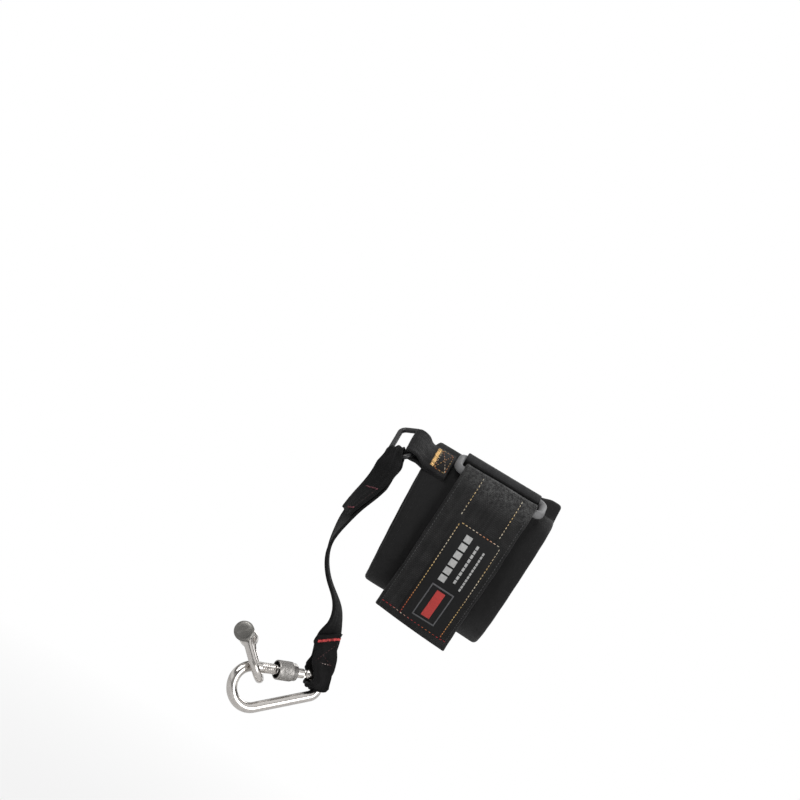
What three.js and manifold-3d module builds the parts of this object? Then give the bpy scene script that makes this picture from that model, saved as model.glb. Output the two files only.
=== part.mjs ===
// A wristband that carries a hand tool on a short lanyard: padded cuff, closing strap, ring, lanyard,
// screw-gate carabiner and shackle. Millimetres, +Z up, X along the forearm from hand to elbow.
// The origin is the middle of the bore that the wrist goes through, and the palm side faces -Y.
import * as THREE from 'three';
import { mergeVertices } from 'three/addons/utils/BufferGeometryUtils.js';
import Module from 'manifold-3d';

const wasm = await Module();
wasm.setup();

// Clearance between touching pieces
const gap = 0.3;

// Cuff: an oval sleeve of outer cloth, padding and lining, with a soft roll at each edge
const cuffDepth = 51;
const cuffHeight = 68.2;
const cuffCentreZ = -2.9;
const cuffElbowX = 29.9;
const cuffHandX = -32.5;
const cuffHandSkew = 1.8;
const clothThick = 0.7;
const paddingThick = 2;
const liningThick = 0.6;
const edgeRollWidth = 2.2;
const flareHeight = 5.6;
const flareRun = 8.4;
const flareStartX = cuffElbowX - flareRun;
const cuffSteps = 64;

// Closing strap and the ring it runs through
const strapWidth = 38.1;
const strapThick = 1.8;
const buckleX = 2.1;
const buckleWire = 3.9;
const buckleRoom = 2.1;
const buckleLength = strapWidth + 2 * buckleWire + buckleRoom;
const buckleSpan = 15;
const buckleCorner = 3.7;
const buckleFrontInset = 8.5;
const buckleFrontDrop = 1.8;
const buckleRearLift = 3.5;
const anchorMargin = 0.05;
const anchorThick = 1.2;
const tabSkew = 2.8;
const tabFreeLength = 19;
const hookThick = 1.4;
const hookMargin = 2;
const labelWidth = 21.5;
const labelThick = 0.4;
const labelShift = 2.05;

// Side loop of narrower webbing and the small ring in it
const sideWidth = 18.2;
const sideThick = 1.5;
const sideRoom = 0.7;
const sideInnerX = buckleX - buckleLength / 2 - sideRoom;
const sideSag = 1.6;
const ringReach = 9.5;
const ringBarX = cuffHandX - ringReach;
const ringLift = 2.2;
const ringWire = 2.8;
const ringRoom = 1.2;
const ringLength = sideWidth + 2 * ringWire + ringRoom;
const ringSpan = 13.2;
const ringCorner = 2.6;
const tackWidth = 1.7;
const tackThick = 0.5;
const sideTackInset = 8.8;
const sideTackX = sideInnerX - sideTackInset;

// Lanyard webbing
const lanyardWidth = 12.7;
const lanyardThick = 1.5;
const upperEyeWidth = 4.8;
const upperEyeShift = 0.85;
const lowerEyeWidth = 3.8;
const eyeSlack = 0.5;
const throatLength = 8.5;
const joinGapShare = 0.06;
const widenShare = 0.25;

// Carabiner
const rodWire = 5;
const wideRadius = 9.5;
const narrowRadius = 5;
const centreSpan = 29;
const noseLength = 10.7;
const gateWire = 4.6;
const tongueThick = 2;
const tongueWide = 3.6;
const hingeInset = 0.5;
const hingePinWire = 1.5;
const hingePinLength = 4.6;
const sleeveOuter = 9.2;
const sleeveBore = 5.7;
const sleeveLength = 10;
const sleeveTaper = 2.4;
const sleeveTipOffset = 0.35;

// Shackle
const shackleRun = 0.8;
const shackleSeat = 1.4;
const shackleWire = 4;
const shackleInside = 10.4;
const shackleReach = 21;
const shackleEye = 8.6;
const shackleEyeWide = 4.2;
const shacklePinWire = 4.2;
const shackleBore = 5;
const shackleHead = 9.5;
const shackleHeadThick = 2;
const shackleNutThick = 1.2;

// Angles, in radians
const deg = Math.PI / 180;
const backShare = 0.35;
const topShare = 0.6;
const sideAngle = 29.5 * deg;
const foldEndAngle = 50 * deg;
const foldStartAngle = -140 * deg;
const rootEndAngle = 96 * deg;
const anchorFirst = 200 * deg;
const anchorLast = -32 * deg;
const anchorTailFirst = 34 * deg;
const anchorTailEnd = 5 * deg;
const anchorTopEnd = 16 * deg;
const strapUnderAngle = 46 * deg;
const tabHeadTurn = 16 * deg;
const hookLower = 5 * deg;
const tabLandAngle = 64 * deg;
const labelTopAngle = 71 * deg;
const tabLeaveAngle = 134 * deg;
const ringDroop = 30 * deg;
const carabinerYaw = 28 * deg;
const carabinerTilt = 29.8 * deg;
const loopTilt = 50 * deg;
const shackleLean = 15 * deg;
const shackleAngle = 42.5 * deg;

// Route of the lanyard from the small ring to the carabiner, and the way its width lies there
const lanyardRoute = [
  [-46.6, -24.2, 15.4],
  [-46.9, -26.0, 9.0],
  [-48.2, -26.2, 1.0],
  [-50.6, -25.6, -8.0],
  [-52.2, -24.8, -17.0],
  [-52.6, -24.2, -25.0],
  [-51.6, -23.6, -33.0],
  [-48.4, -23.0, -39.8],
  [-43.7, -22.4, -45.4],
  [-38.2, -21.9, -50.2],
  [-33.9, -21.4, -55.8],
  [-31.5, -21.0, -62.0],
  [-30.5, -20.8, -67.8],
  [-28.6, -21.1, -73.0],
];
const lanyardAcross = [
  [-0.87, 0.36, -0.33],
  [-0.85, 0.45, -0.2],
  [-0.75, 0.65, 0],
  [-0.6, 0.8, 0],
  [-0.35, 0.93, 0],
  [-0.15, 0.98, 0],
  [0, 1, 0],
  [0.05, 1, 0],
  [0.08, 1, 0],
  [0.15, 0.98, 0],
  [0.4, 0.9, 0],
  [0.68, 0.72, -0.1],
  [0.82, 0.5, -0.25],
  [0.86, 0.36, -0.35],
];

// Where the middle of the carabiner's narrow bend hangs
const carabinerAt = [-27.6, -26.0, -91.8];

const upperTailZ = -13.5;
const lowerTailZ = -68;
const upperStartZ = 9;
const lowerEndZ = -78;
const tackLevels = [2.8, -11.6, -70.2];

const vec = (x, y, z) => new THREE.Vector3(x, y, z);

// A list made from evenly spaced values between two ends.
function between(from, to, steps, make) {
  const list = [];
  for (let i = 0; i <= steps; i += 1) list.push(make(from + ((to - from) * i) / steps, i / steps));
  return list;
}

// A body through rings of points; each ring has the same even number of points, in order round it.
function loft(rings, closed) {
  const count = rings[0].length;
  const faces = [];
  const spans = closed ? rings.length : rings.length - 1;
  for (let i = 0; i < spans; i += 1) {
    const a = i * count;
    const b = ((i + 1) % rings.length) * count;
    for (let j = 0; j < count; j += 1) {
      const k = (j + 1) % count;
      faces.push(a + j, b + j, b + k, a + j, b + k, a + k);
    }
  }
  if (!closed) {
    capRing(faces, 0, count, false);
    capRing(faces, (rings.length - 1) * count, count, true);
  }
  const positions = rings.flat().flatMap((p) => [p.x, p.y, p.z]);
  return outwardGeometry(positions, faces);
}

// Closes one end of a loft with a strip between the ring's two halves.
function capRing(faces, start, count, reversed) {
  for (let i = 0; i < count / 2 - 1; i += 1) {
    const quad = [i, i + 1, count - 2 - i, count - 1 - i].map((n) => n + start);
    const order = reversed ? [0, 2, 1, 0, 3, 2] : [0, 1, 2, 0, 2, 3];
    faces.push(...order.map((n) => quad[n]));
  }
}

// A geometry whose faces point out, whichever way round they were listed.
function outwardGeometry(positions, faces) {
  const at = (n) => vec(...positions.slice(n * 3, n * 3 + 3));
  let volume = 0;
  for (let i = 0; i < faces.length; i += 3) {
    volume += at(faces[i]).dot(at(faces[i + 1]).cross(at(faces[i + 2])));
  }
  const index = volume < 0 ? faces.slice().reverse() : faces;
  const geometry = new THREE.BufferGeometry();
  geometry.setAttribute('position', new THREE.Float32BufferAttribute(positions, 3));
  geometry.setIndex(index);
  geometry.computeVertexNormals();
  return geometry;
}

// A boolean solid from a geometry, and a geometry from a boolean solid.
function solidOf(geometry) {
  const bare = geometry.clone();
  bare.deleteAttribute('normal');
  bare.deleteAttribute('uv');
  const merged = mergeVertices(bare);
  return new wasm.Manifold(new wasm.Mesh({
    numProp: 3,
    vertProperties: merged.attributes.position.array,
    triVerts: new Uint32Array(merged.index.array),
  }));
}

function geometryOf(solid) {
  const mesh = solid.getMesh();
  const geometry = new THREE.BufferGeometry();
  geometry.setAttribute('position', new THREE.Float32BufferAttribute(mesh.vertProperties, 3));
  geometry.setIndex([...mesh.triVerts]);
  geometry.computeVertexNormals();
  return geometry;
}

// Finishes
function finish(color, roughness, metalness) {
  return { color, roughness, metalness };
}

const finishes = {
  cloth: finish(0x1c1c1d, 0.95, 0),
  webbing: finish(0x222224, 0.85, 0),
  hook: finish(0x141414, 1, 0),
  label: finish(0x101011, 0.7, 0),
  greyPlastic: finish(0x6e6e70, 0.5, 0),
  blackPlastic: finish(0x1a1a1b, 0.45, 0),
  orangeThread: finish(0xe0a050, 0.8, 0),
  redThread: finish(0xc03a3a, 0.8, 0),
  steel: finish(0xc9c9cc, 0.25, 1),
  satinSteel: finish(0xa8a8aa, 0.45, 1),
};

function piece(name, geometry, look) {
  const mesh = new THREE.Mesh(geometry, new THREE.MeshStandardMaterial(look));
  mesh.name = name;
  return mesh;
}

// Points and directions of the oval: angle 0 is the top, and it grows toward the front (-Y).
const ovalY = cuffDepth / 2;
const ovalZ = cuffHeight / 2;

function smooth(value) {
  const t = Math.min(1, Math.max(0, value));
  return t * t * (3 - 2 * t);
}

// The elbow edge stands up a little behind the ring, where the cuff's end overlaps.
function flare(x, angle) {
  const along = smooth((x - flareStartX) / (cuffElbowX - flareStartX));
  const back = smooth((backShare - Math.sin(angle)) / (2 * backShare));
  const top = smooth(Math.cos(angle) / topShare);
  return flareHeight * along * back * top;
}

function onOval(x, angle, offset) {
  const y = -(ovalY + offset) * Math.sin(angle);
  const z = cuffCentreZ + (ovalZ + offset + flare(x, angle)) * Math.cos(angle);
  return vec(x, y, z);
}

function ovalNormal(angle) {
  return vec(0, -Math.sin(angle) / ovalY, Math.cos(angle) / ovalZ).normalize();
}

function ovalTangent(angle) {
  const normal = ovalNormal(angle);
  return vec(0, -normal.z, normal.y);
}

function handEdge(angle) {
  return cuffHandX - cuffHandSkew * Math.cos(angle);
}

// One layer of the cuff between two depths below its outer surface.
function cuffLayer(outer, inner) {
  const rings = [];
  for (let i = 0; i < cuffSteps; i += 1) {
    const angle = (2 * Math.PI * i) / cuffSteps;
    const start = handEdge(angle) + edgeRollWidth + gap;
    const end = cuffElbowX - edgeRollWidth - gap;
    const flareSpan = Math.min(flareStartX, end);
    const stations = [start, (start + flareSpan) / 2, flareSpan, (flareSpan + end) / 2, end];
    const out = stations.map((x) => onOval(x, angle, -outer));
    const back = stations.map((x) => onOval(x, angle, -inner)).reverse();
    rings.push([...out, ...back]);
  }
  return loft(rings, true);
}

// A soft half-round roll that closes the layers at one edge; side is -1 at the hand, 1 at the elbow.
function edgeRoll(side) {
  const depth = clothThick + paddingThick + liningThick + 2 * gap;
  const arcSteps = 7;
  const rings = [];
  for (let i = 0; i < cuffSteps; i += 1) {
    const angle = (2 * Math.PI * i) / cuffSteps;
    const edge = side < 0 ? handEdge(angle) : cuffElbowX;
    const seat = edge - side * edgeRollWidth;
    const ring = [];
    for (let j = 0; j <= arcSteps; j += 1) {
      const turn = Math.PI * (j / arcSteps);
      const x = seat + side * edgeRollWidth * Math.sin(turn);
      const down = (depth / 2) * (1 - Math.cos(turn));
      ring.push(onOval(x, angle, -down));
    }
    rings.push(ring);
  }
  return loft(rings, true);
}

// A strip through stations; each has its middle, its directions across and up, its width and sag.
function ribbon(stations, thick, across) {
  const rings = stations.map((s) => {
    const top = [];
    const bottom = [];
    for (let i = 0; i <= across; i += 1) {
      const u = (2 * i) / across - 1;
      const side = s.w.clone().multiplyScalar((u * s.width) / 2);
      const sag = (s.sag ?? 0) * u * u;
      top.push(s.p.clone().add(side).addScaledVector(s.n, thick / 2 - sag));
      bottom.push(s.p.clone().add(side).addScaledVector(s.n, -thick / 2 - sag));
    }
    return [...top, ...bottom.reverse()];
  });
  return loft(rings, false);
}

// A round wire along a path of points with tangents, about the path plane's normal.
function wireRings(path, normal, radius, sides) {
  return path.map(({ p, t }) => {
    const lateral = new THREE.Vector3().crossVectors(t, normal).normalize();
    const ring = [];
    for (let i = 0; i < sides; i += 1) {
      const turn = (2 * Math.PI * i) / sides;
      ring.push(p.clone()
        .addScaledVector(normal, radius * Math.cos(turn))
        .addScaledVector(lateral, radius * Math.sin(turn)));
    }
    return ring;
  });
}

// The middle line of a rectangular ring with round corners, in the plane of two directions.
function roundedPath(centre, along, cross, length, span, corner, steps) {
  const path = [];
  const quadrants = [[1, 1], [-1, 1], [-1, -1], [1, -1]];
  quadrants.forEach(([a, c], index) => {
    const middle = centre.clone()
      .addScaledVector(along, a * (length / 2 - corner))
      .addScaledVector(cross, c * (span / 2 - corner));
    for (let i = 0; i <= steps; i += 1) {
      const turn = (Math.PI / 2) * (index + i / steps);
      const p = middle.clone()
        .addScaledVector(along, corner * Math.cos(turn))
        .addScaledVector(cross, corner * Math.sin(turn));
      const t = along.clone().multiplyScalar(-Math.sin(turn)).addScaledVector(cross, Math.cos(turn));
      path.push({ p, t });
    }
  });
  return path;
}

const X = vec(1, 0, 0);
const carabinerPlace = vec(...carabinerAt);

// The grey ring: its rear bar lies on the cuff, and the strap turns round its front bar.
const cuffTopZ = cuffCentreZ + ovalZ;
const rise = buckleRearLift + buckleFrontDrop;
const barSpan = Math.sqrt(buckleSpan * buckleSpan - rise * rise);
const frontBar = vec(buckleX, buckleFrontInset - ovalY, cuffTopZ - buckleFrontDrop);
const rearBar = vec(buckleX, frontBar.y + barSpan, cuffTopZ + buckleRearLift);

function buckleRing() {
  const centre = frontBar.clone().add(rearBar).divideScalar(2);
  const cross = rearBar.clone().sub(frontBar).normalize();
  const normal = new THREE.Vector3().crossVectors(X, cross);
  const length = buckleLength - buckleWire;
  const path = roundedPath(centre, X, cross, length, buckleSpan, buckleCorner, 6);
  return loft(wireRings(path, normal, buckleWire / 2, 12), true);
}

// A point at an angle round a bar, in the same sense as the angles of the oval.
function roundBar(bar, radius, angle) {
  return vec(0, bar.y - radius * Math.sin(angle), bar.z + radius * Math.cos(angle));
}

// Stations of a strap that runs across X, from a list of points, with its middle moved along X.
function strapStations(points, width, middleOf) {
  return points.map((p, i) => {
    const before = points[Math.max(0, i - 1)];
    const after = points[Math.min(points.length - 1, i + 1)];
    const t = after.clone().sub(before).normalize();
    const n = new THREE.Vector3().crossVectors(t, X);
    return { p: vec(middleOf(p, i), p.y, p.z), w: X.clone(), n, width };
  });
}

// The wide cloth loop round the rear bar: both of its layers run back over the cuff's top.
function buckleAnchor() {
  const lowOffset = gap + anchorThick / 2;
  const highOffset = lowOffset + anchorThick + gap;
  const radius = buckleWire / 2 + gap + anchorThick / 2;
  const tail = (offset) => (angle) => onOval(0, -angle, offset);
  const low = between(anchorTailFirst, anchorTailEnd, 5, tail(lowOffset));
  const high = between(anchorTopEnd, anchorTailFirst, 3, tail(highOffset));
  const wrap = between(anchorFirst, anchorLast, 10, (angle) => roundBar(rearBar, radius, angle));
  const width = strapWidth - 2 * anchorMargin;
  return ribbon(strapStations([...low, ...wrap, ...high], width, () => buckleX), anchorThick, 1);
}

const wrapRadius = buckleWire / 2 + gap + strapThick / 2;
const baseOffset = gap + strapThick / 2;
const tabOffset = baseOffset + strapThick + gap;

// The skew of the strap: its middle moves along X as it comes down the front.
function strapMiddle(p) {
  const drop = (frontBar.z - p.z) / cuffHeight;
  return buckleX - tabSkew * Math.min(1, Math.max(0, drop));
}

// The strap's inner layer: up the cuff's front, under the front bar and round it to the fold.
function strapBase() {
  const climb = between(rootEndAngle, strapUnderAngle, 9, (angle) => onOval(0, angle, baseOffset));
  const fold = between(foldStartAngle, foldEndAngle, 14, (angle) => roundBar(frontBar, wrapRadius, angle));
  return ribbon(strapStations([...climb, ...fold], strapWidth, strapMiddle), strapThick, 1);
}

// Middle line of the outer layer, from the fold down the front and straight on past the cuff.
function tabPoints(offset, fromAngle) {
  const first = Math.max(tabLandAngle, fromAngle);
  const points = between(first, tabLeaveAngle, 10, (angle) => onOval(0, angle, offset));
  const last = points[points.length - 1];
  const away = ovalTangent(tabLeaveAngle);
  [1, 2, 3].forEach((n) => points.push(last.clone().addScaledVector(away, (tabFreeLength * n) / 3)));
  return points;
}

function pullTab() {
  const startAngle = foldEndAngle + (2 * gap) / wrapRadius;
  const fold = between(startAngle, startAngle + tabHeadTurn, 2, (angle) => roundBar(frontBar, wrapRadius, angle));
  const points = [...fold, ...tabPoints(tabOffset, 0)];
  return ribbon(strapStations(points, strapWidth, strapMiddle), strapThick, 1);
}

// Hook tape behind the tab, in the space below the end of the inner layer.
function hookPatch() {
  const offset = tabOffset - strapThick / 2 - gap - hookThick / 2;
  const points = between(rootEndAngle + hookLower, tabLeaveAngle, 6, (angle) => onOval(0, angle, offset));
  const width = strapWidth - 2 * hookMargin;
  return ribbon(strapStations(points, width, strapMiddle), hookThick, 1);
}

// Label on the tab's face, from a little below the ring to near the free end.
function labelPatch() {
  const offset = tabOffset + strapThick / 2 + gap + labelThick / 2;
  const points = tabPoints(offset, labelTopAngle);
  points.pop();
  const middleOf = (p) => strapMiddle(p) + labelShift;
  return ribbon(strapStations(points, labelWidth, middleOf), labelThick, 1);
}

// Directions at the side loop: across its width, away from the cuff, and toward the hand.
const sideNormal = ovalNormal(sideAngle);
const sideAcross = ovalTangent(sideAngle);
const sideRoot = onOval(0, sideAngle, 0);
const sideLow = gap + sideThick / 2;
const sideHigh = sideLow + sideThick + gap;
const ringBar = sideRoot.clone().setX(ringBarX).addScaledVector(sideNormal, ringLift);

function sidePoint(x, offset) {
  return sideRoot.clone().setX(x).addScaledVector(sideNormal, offset);
}

// One strip of webbing: along the cuff, round the small ring's bar and back on top of itself.
function sideLoop() {
  const radius = ringWire / 2 + gap + sideThick / 2;
  const xs = between(sideInnerX, ringBarX + radius * 2, 4, (x) => x);
  const flatten = (x) => sideSag * (1 - smooth((handEdge(sideAngle) - x) / (radius * 2)));
  const stations = xs.map((x) => ({ p: sidePoint(x, sideLow), n: sideNormal.clone().negate(), sag: -flatten(x) }));
  stations.push(...between(-Math.PI / 2, Math.PI / 2, 8, (angle) => {
    const n = X.clone().multiplyScalar(-Math.cos(angle)).addScaledVector(sideNormal, Math.sin(angle));
    return { p: ringBar.clone().addScaledVector(n, radius), n, sag: 0 };
  }));
  xs.slice().reverse().forEach((x) => {
    stations.push({ p: sidePoint(x, sideHigh), n: sideNormal.clone(), sag: flatten(x) });
  });
  stations.forEach((s) => {
    s.w = sideAcross.clone();
    s.width = sideWidth;
  });
  return ribbon(stations, sideThick, 4);
}

function sideTack() {
  const tackLong = sideWidth - 2 * tackWidth;
  const offset = sideHigh + sideThick / 2 + gap + tackThick / 2;
  const half = tackWidth / 2;
  const stations = [-half, half].map((dx) => ({
    p: sidePoint(sideTackX + dx, offset),
    n: sideNormal.clone(),
    w: sideAcross.clone(),
    width: tackLong,
    sag: sideSag * (tackLong / sideWidth) ** 2,
  }));
  return ribbon(stations, tackThick, 4);
}

// The small ring: from its bar in the side loop it droops toward the wrist.
const ringAway = X.clone().multiplyScalar(-Math.cos(ringDroop))
  .addScaledVector(sideNormal, -Math.sin(ringDroop));
const ringNormal = new THREE.Vector3().crossVectors(sideAcross, ringAway).normalize();
const ringCentre = ringBar.clone().addScaledVector(ringAway, (ringSpan - ringWire) / 2);

function smallRing() {
  const length = ringLength - ringWire;
  const span = ringSpan - ringWire;
  const path = roundedPath(ringCentre, sideAcross, ringAway, length, span, ringCorner, 5);
  return loft(wireRings(path, ringNormal, ringWire / 2, 10), true);
}

const ringRail = ringCentre.clone()
  .addScaledVector(sideAcross, (ringLength - ringWire) / 2)
  .addScaledVector(ringAway, upperEyeShift);

// The carabiner's own directions: from its wide end to its narrow end, toward its gate, and its face.
const carabinerLong = vec(
  Math.cos(carabinerYaw) * Math.cos(carabinerTilt),
  Math.sin(carabinerYaw),
  Math.cos(carabinerYaw) * Math.sin(carabinerTilt),
);
const carabinerCross = vec(-Math.sin(carabinerTilt), 0, Math.cos(carabinerTilt));
const carabinerFace = new THREE.Vector3().crossVectors(carabinerLong, carabinerCross).normalize();
const carabinerUp = new THREE.Vector3().crossVectors(carabinerFace, carabinerLong).normalize();

// The lower loop holds the narrow bend's middle, and its two layers lie in front of and behind it.
const eyeRadius = rodWire / 2 + eyeSlack + lanyardThick / 2;
const loopDown = carabinerLong.clone().multiplyScalar(-Math.cos(loopTilt))
  .addScaledVector(carabinerUp, -Math.sin(loopTilt));
const loopAcross = new THREE.Vector3().crossVectors(carabinerFace, loopDown).normalize();
const lowerEye = carabinerPlace.clone().addScaledVector(loopDown, -eyeRadius);
const lowerThroat = lowerEye.clone().addScaledVector(loopDown, -throatLength);

// Middle line of the lanyard, with its direction across at each point.
const firstAcross = ringAway.clone();
const routePoints = [ringRail, ...lanyardRoute.map((p) => vec(...p)), lowerThroat, lowerEye];
const routeAcross = [
  firstAcross,
  ...lanyardAcross.map((w) => vec(...w)),
  loopAcross,
  loopAcross,
];
const routeCurve = new THREE.CatmullRomCurve3(routePoints);
const acrossCurve = new THREE.CatmullRomCurve3(routeAcross);

// The place on the lanyard at a share of its route: its middle, its width and its normal.
function onRoute(share) {
  const p = routeCurve.getPoint(share);
  const t = routeCurve.getTangent(share).normalize();
  const w = acrossCurve.getPoint(share);
  w.addScaledVector(t, -w.dot(t)).normalize();
  const n = new THREE.Vector3().crossVectors(t, w);
  return { p, t, w, n };
}

// The share of the route at a height; the route falls all the way.
function shareAt(height) {
  let low = 0;
  let high = 1;
  for (let i = 0; i < 40; i += 1) {
    const middle = (low + high) / 2;
    if (routeCurve.getPoint(middle).z > height) low = middle;
    else high = middle;
  }
  return low;
}

function routeStation(share, lift, width) {
  const { p, w, n } = onRoute(share);
  return { p: p.addScaledVector(n, lift), w, n, width };
}

const upperEnd = shareAt(upperStartZ);
const lowerEnd = shareAt(lowerEndZ);
const layerStep = lanyardThick + 2 * gap;

function lanyardStrap() {
  const stations = between(upperEnd, lowerEnd, 34, (share) => routeStation(share, 0, lanyardWidth));
  return ribbon(stations, lanyardThick, 3);
}

// A loop at one end of the lanyard: one layer goes on from the strap, turns round a bar and comes
// back beside the strap as a sewn-down tail. Side is the face that the tail lies on.
function endLoop(eyeShare, joinShare, tailShare, side, radius, eyeWidth, frame) {
  const join = joinShare + (eyeShare - joinShare) * joinGapShare;
  const width = (v) => lanyardWidth + (eyeWidth - lanyardWidth) * smooth((v - widenShare) / (1 - widenShare));
  const leg = between(join, eyeShare, 6, (share, v) => routeStation(share, -side * radius * smooth(v), width(v)));
  const back = between(eyeShare, join, 6, (share, v) => {
    const lift = layerStep + (radius - layerStep) * smooth(1 - v);
    return routeStation(share, side * lift, width(1 - v));
  });
  const tail = between(join, tailShare, 12, (share) => routeStation(share, side * layerStep, lanyardWidth));
  leg.pop();
  back.shift();
  tail.shift();
  const turns = 8;
  const arc = between(0, Math.PI, turns, (angle) => {
    const n = frame.normal.clone().multiplyScalar(-side * Math.cos(angle))
      .addScaledVector(frame.out, Math.sin(angle));
    return { p: frame.centre.clone().addScaledVector(n, radius), n, w: frame.across, width: eyeWidth };
  });
  const flipped = leg.map((s) => ({ ...s, n: s.n.clone().multiplyScalar(-side) }));
  const kept = [...back, ...tail].map((s) => ({ ...s, n: s.n.clone().multiplyScalar(side) }));
  return ribbon([...flipped, ...arc, ...kept], lanyardThick, 3);
}

function upperLoop() {
  const t = onRoute(0).t;
  const out = t.clone().addScaledVector(firstAcross, -t.dot(firstAcross)).normalize().negate();
  const normal = new THREE.Vector3().crossVectors(out.clone().negate(), firstAcross);
  const frame = { centre: ringRail, out, normal, across: firstAcross };
  const radius = ringWire / 2 + eyeSlack + lanyardThick / 2;
  return endLoop(0, upperEnd, shareAt(upperTailZ), -1, radius, upperEyeWidth, frame);
}

function lowerLoop() {
  const frame = { centre: lowerEye, out: loopDown, normal: carabinerFace, across: loopAcross };
  return endLoop(1, lowerEnd, shareAt(lowerTailZ), 1, eyeRadius, lowerEyeWidth, frame);
}

// A bar tack: a thick line of thread across the lanyard, on the face of its tail.
function lanyardTack(height, side) {
  const { p, t, w, n } = onRoute(shareAt(height));
  const lift = side * (layerStep + lanyardThick / 2 + gap + tackThick / 2);
  const middle = p.addScaledVector(n, lift);
  const stations = [-1, 1].map((end) => ({
    p: middle.clone().addScaledVector(t, (end * tackWidth) / 2),
    w,
    n,
    width: lanyardWidth - tackWidth,
  }));
  return ribbon(stations, tackThick, 1);
}

// Carabiner, in its own frame: the origin is the middle of the narrow bend, X runs along it away
// from the wide end, Y toward the gate, and Z out of its face.
const slopeSine = (wideRadius - narrowRadius) / centreSpan;
const slope = Math.asin(slopeSine);
const wideCentre = vec(-centreSpan, 0, 0);
const gateWay = vec(Math.cos(slope), -Math.sin(slope), 0);
const gateStart = wideCentre.clone().add(vec(Math.sin(slope), Math.cos(slope), 0).multiplyScalar(wideRadius));
const gateRun = Math.sqrt(centreSpan ** 2 - (wideRadius - narrowRadius) ** 2);
const hingeRun = gateRun - hingeInset;
const hingePlace = gateStart.clone().addScaledVector(gateWay, hingeRun);
const Z = vec(0, 0, 1);

function bend(centre, radius, from, to, steps) {
  return between(from, to, steps, (angle) => ({
    p: centre.clone().add(vec(radius * Math.cos(angle), radius * Math.sin(angle), 0)),
    t: vec(-Math.sin(angle), Math.cos(angle), 0),
  }));
}

function carabinerFrame() {
  const back = gateWay.clone().negate();
  const quarter = Math.PI / 2 - slope;
  const path = [
    { p: gateStart.clone().addScaledVector(gateWay, noseLength), t: back },
    ...bend(wideCentre, wideRadius, quarter, 2 * Math.PI - quarter, 18),
    ...bend(vec(0, 0, 0), narrowRadius, -quarter, quarter, 16),
    { p: hingePlace, t: back },
  ];
  const rod = solidOf(loft(wireRings(path, Z, rodWire / 2, 16), false));
  const knuckle = solidOf(new THREE.SphereGeometry(rodWire / 2, 16, 12)
    .translate(hingePlace.x, hingePlace.y, hingePlace.z));
  const front = rodWire / 2 + tongueWide;
  const rear = tongueWide / 2 + gap;
  const slot = new THREE.BoxGeometry(front + rear, rodWire * 2, tongueThick + 2 * gap);
  slot.translate((rear - front) / 2, 0, 0);
  return geometryOf(rod.add(knuckle)
    .subtract(solidOf(onGateLine(slot)))
    .subtract(solidOf(hingeHole())));
}

// Turns a geometry along the gate's line, with its origin at the hinge.
function onGateLine(geometry) {
  return geometry.rotateZ(-slope).translate(hingePlace.x, hingePlace.y, hingePlace.z);
}

function hingeHole() {
  const hole = new THREE.CylinderGeometry(hingePinWire / 2 + gap, hingePinWire / 2 + gap, rodWire * 2, 16);
  return onGateLine(hole.rotateX(Math.PI / 2));
}

function hingePin() {
  const pin = new THREE.CylinderGeometry(hingePinWire / 2, hingePinWire / 2, hingePinLength, 16);
  return onGateLine(pin.rotateX(Math.PI / 2));
}

const shoulder = rodWire / 2 + gap;
const gateTip = hingeRun - noseLength - gap;

function gateArm() {
  const length = gateTip - shoulder;
  const arm = new THREE.CylinderGeometry(gateWire / 2, gateWire / 2, length, 16);
  arm.rotateZ(Math.PI / 2).translate(-(shoulder + gateTip) / 2, 0, 0);
  const half = tongueWide / 2;
  const outline = new THREE.Shape();
  outline.absarc(0, 0, half, -Math.PI / 2, Math.PI / 2);
  outline.lineTo(-shoulder - half, half);
  outline.lineTo(-shoulder - half, -half);
  const tongue = new THREE.ExtrudeGeometry(outline, { depth: tongueThick, bevelEnabled: false, curveSegments: 10 });
  tongue.translate(0, 0, -tongueThick / 2);
  return geometryOf(solidOf(onGateLine(arm)).add(solidOf(onGateLine(tongue))).subtract(solidOf(hingeHole())));
}

// The lock sleeve, drawn back from the nose, so that the gate can open.
function lockSleeve() {
  const outer = sleeveOuter / 2;
  const bore = sleeveBore / 2;
  const neck = (outer + bore) / 2;
  const profile = [
    [bore, 0],
    [bore, sleeveLength],
    [neck, sleeveLength],
    [outer, sleeveLength - sleeveTaper],
    [outer, 0],
    [bore, 0],
  ].map(([r, y]) => new THREE.Vector2(r, y));
  const ring = new THREE.LatheGeometry(profile, 28);
  ring.rotateZ(-Math.PI / 2).translate(-gateTip + sleeveTipOffset, 0, 0);
  return facingOut(onGateLine(ring));
}

function facingOut(geometry) {
  geometry.deleteAttribute('normal');
  geometry.deleteAttribute('uv');
  const merged = mergeVertices(geometry);
  return outwardGeometry([...merged.attributes.position.array], [...merged.index.array]);
}

// Shackle, in its own frame: the origin is on the carabiner's rod, X runs down to the bow's bottom
// and Y along the pin, toward its head.
const bowHalf = (shackleInside + shackleWire) / 2;
const bowBottom = rodWire / 2 + shackleWire / 2 + shackleSeat;
const pinX = bowBottom - shackleReach;

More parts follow.
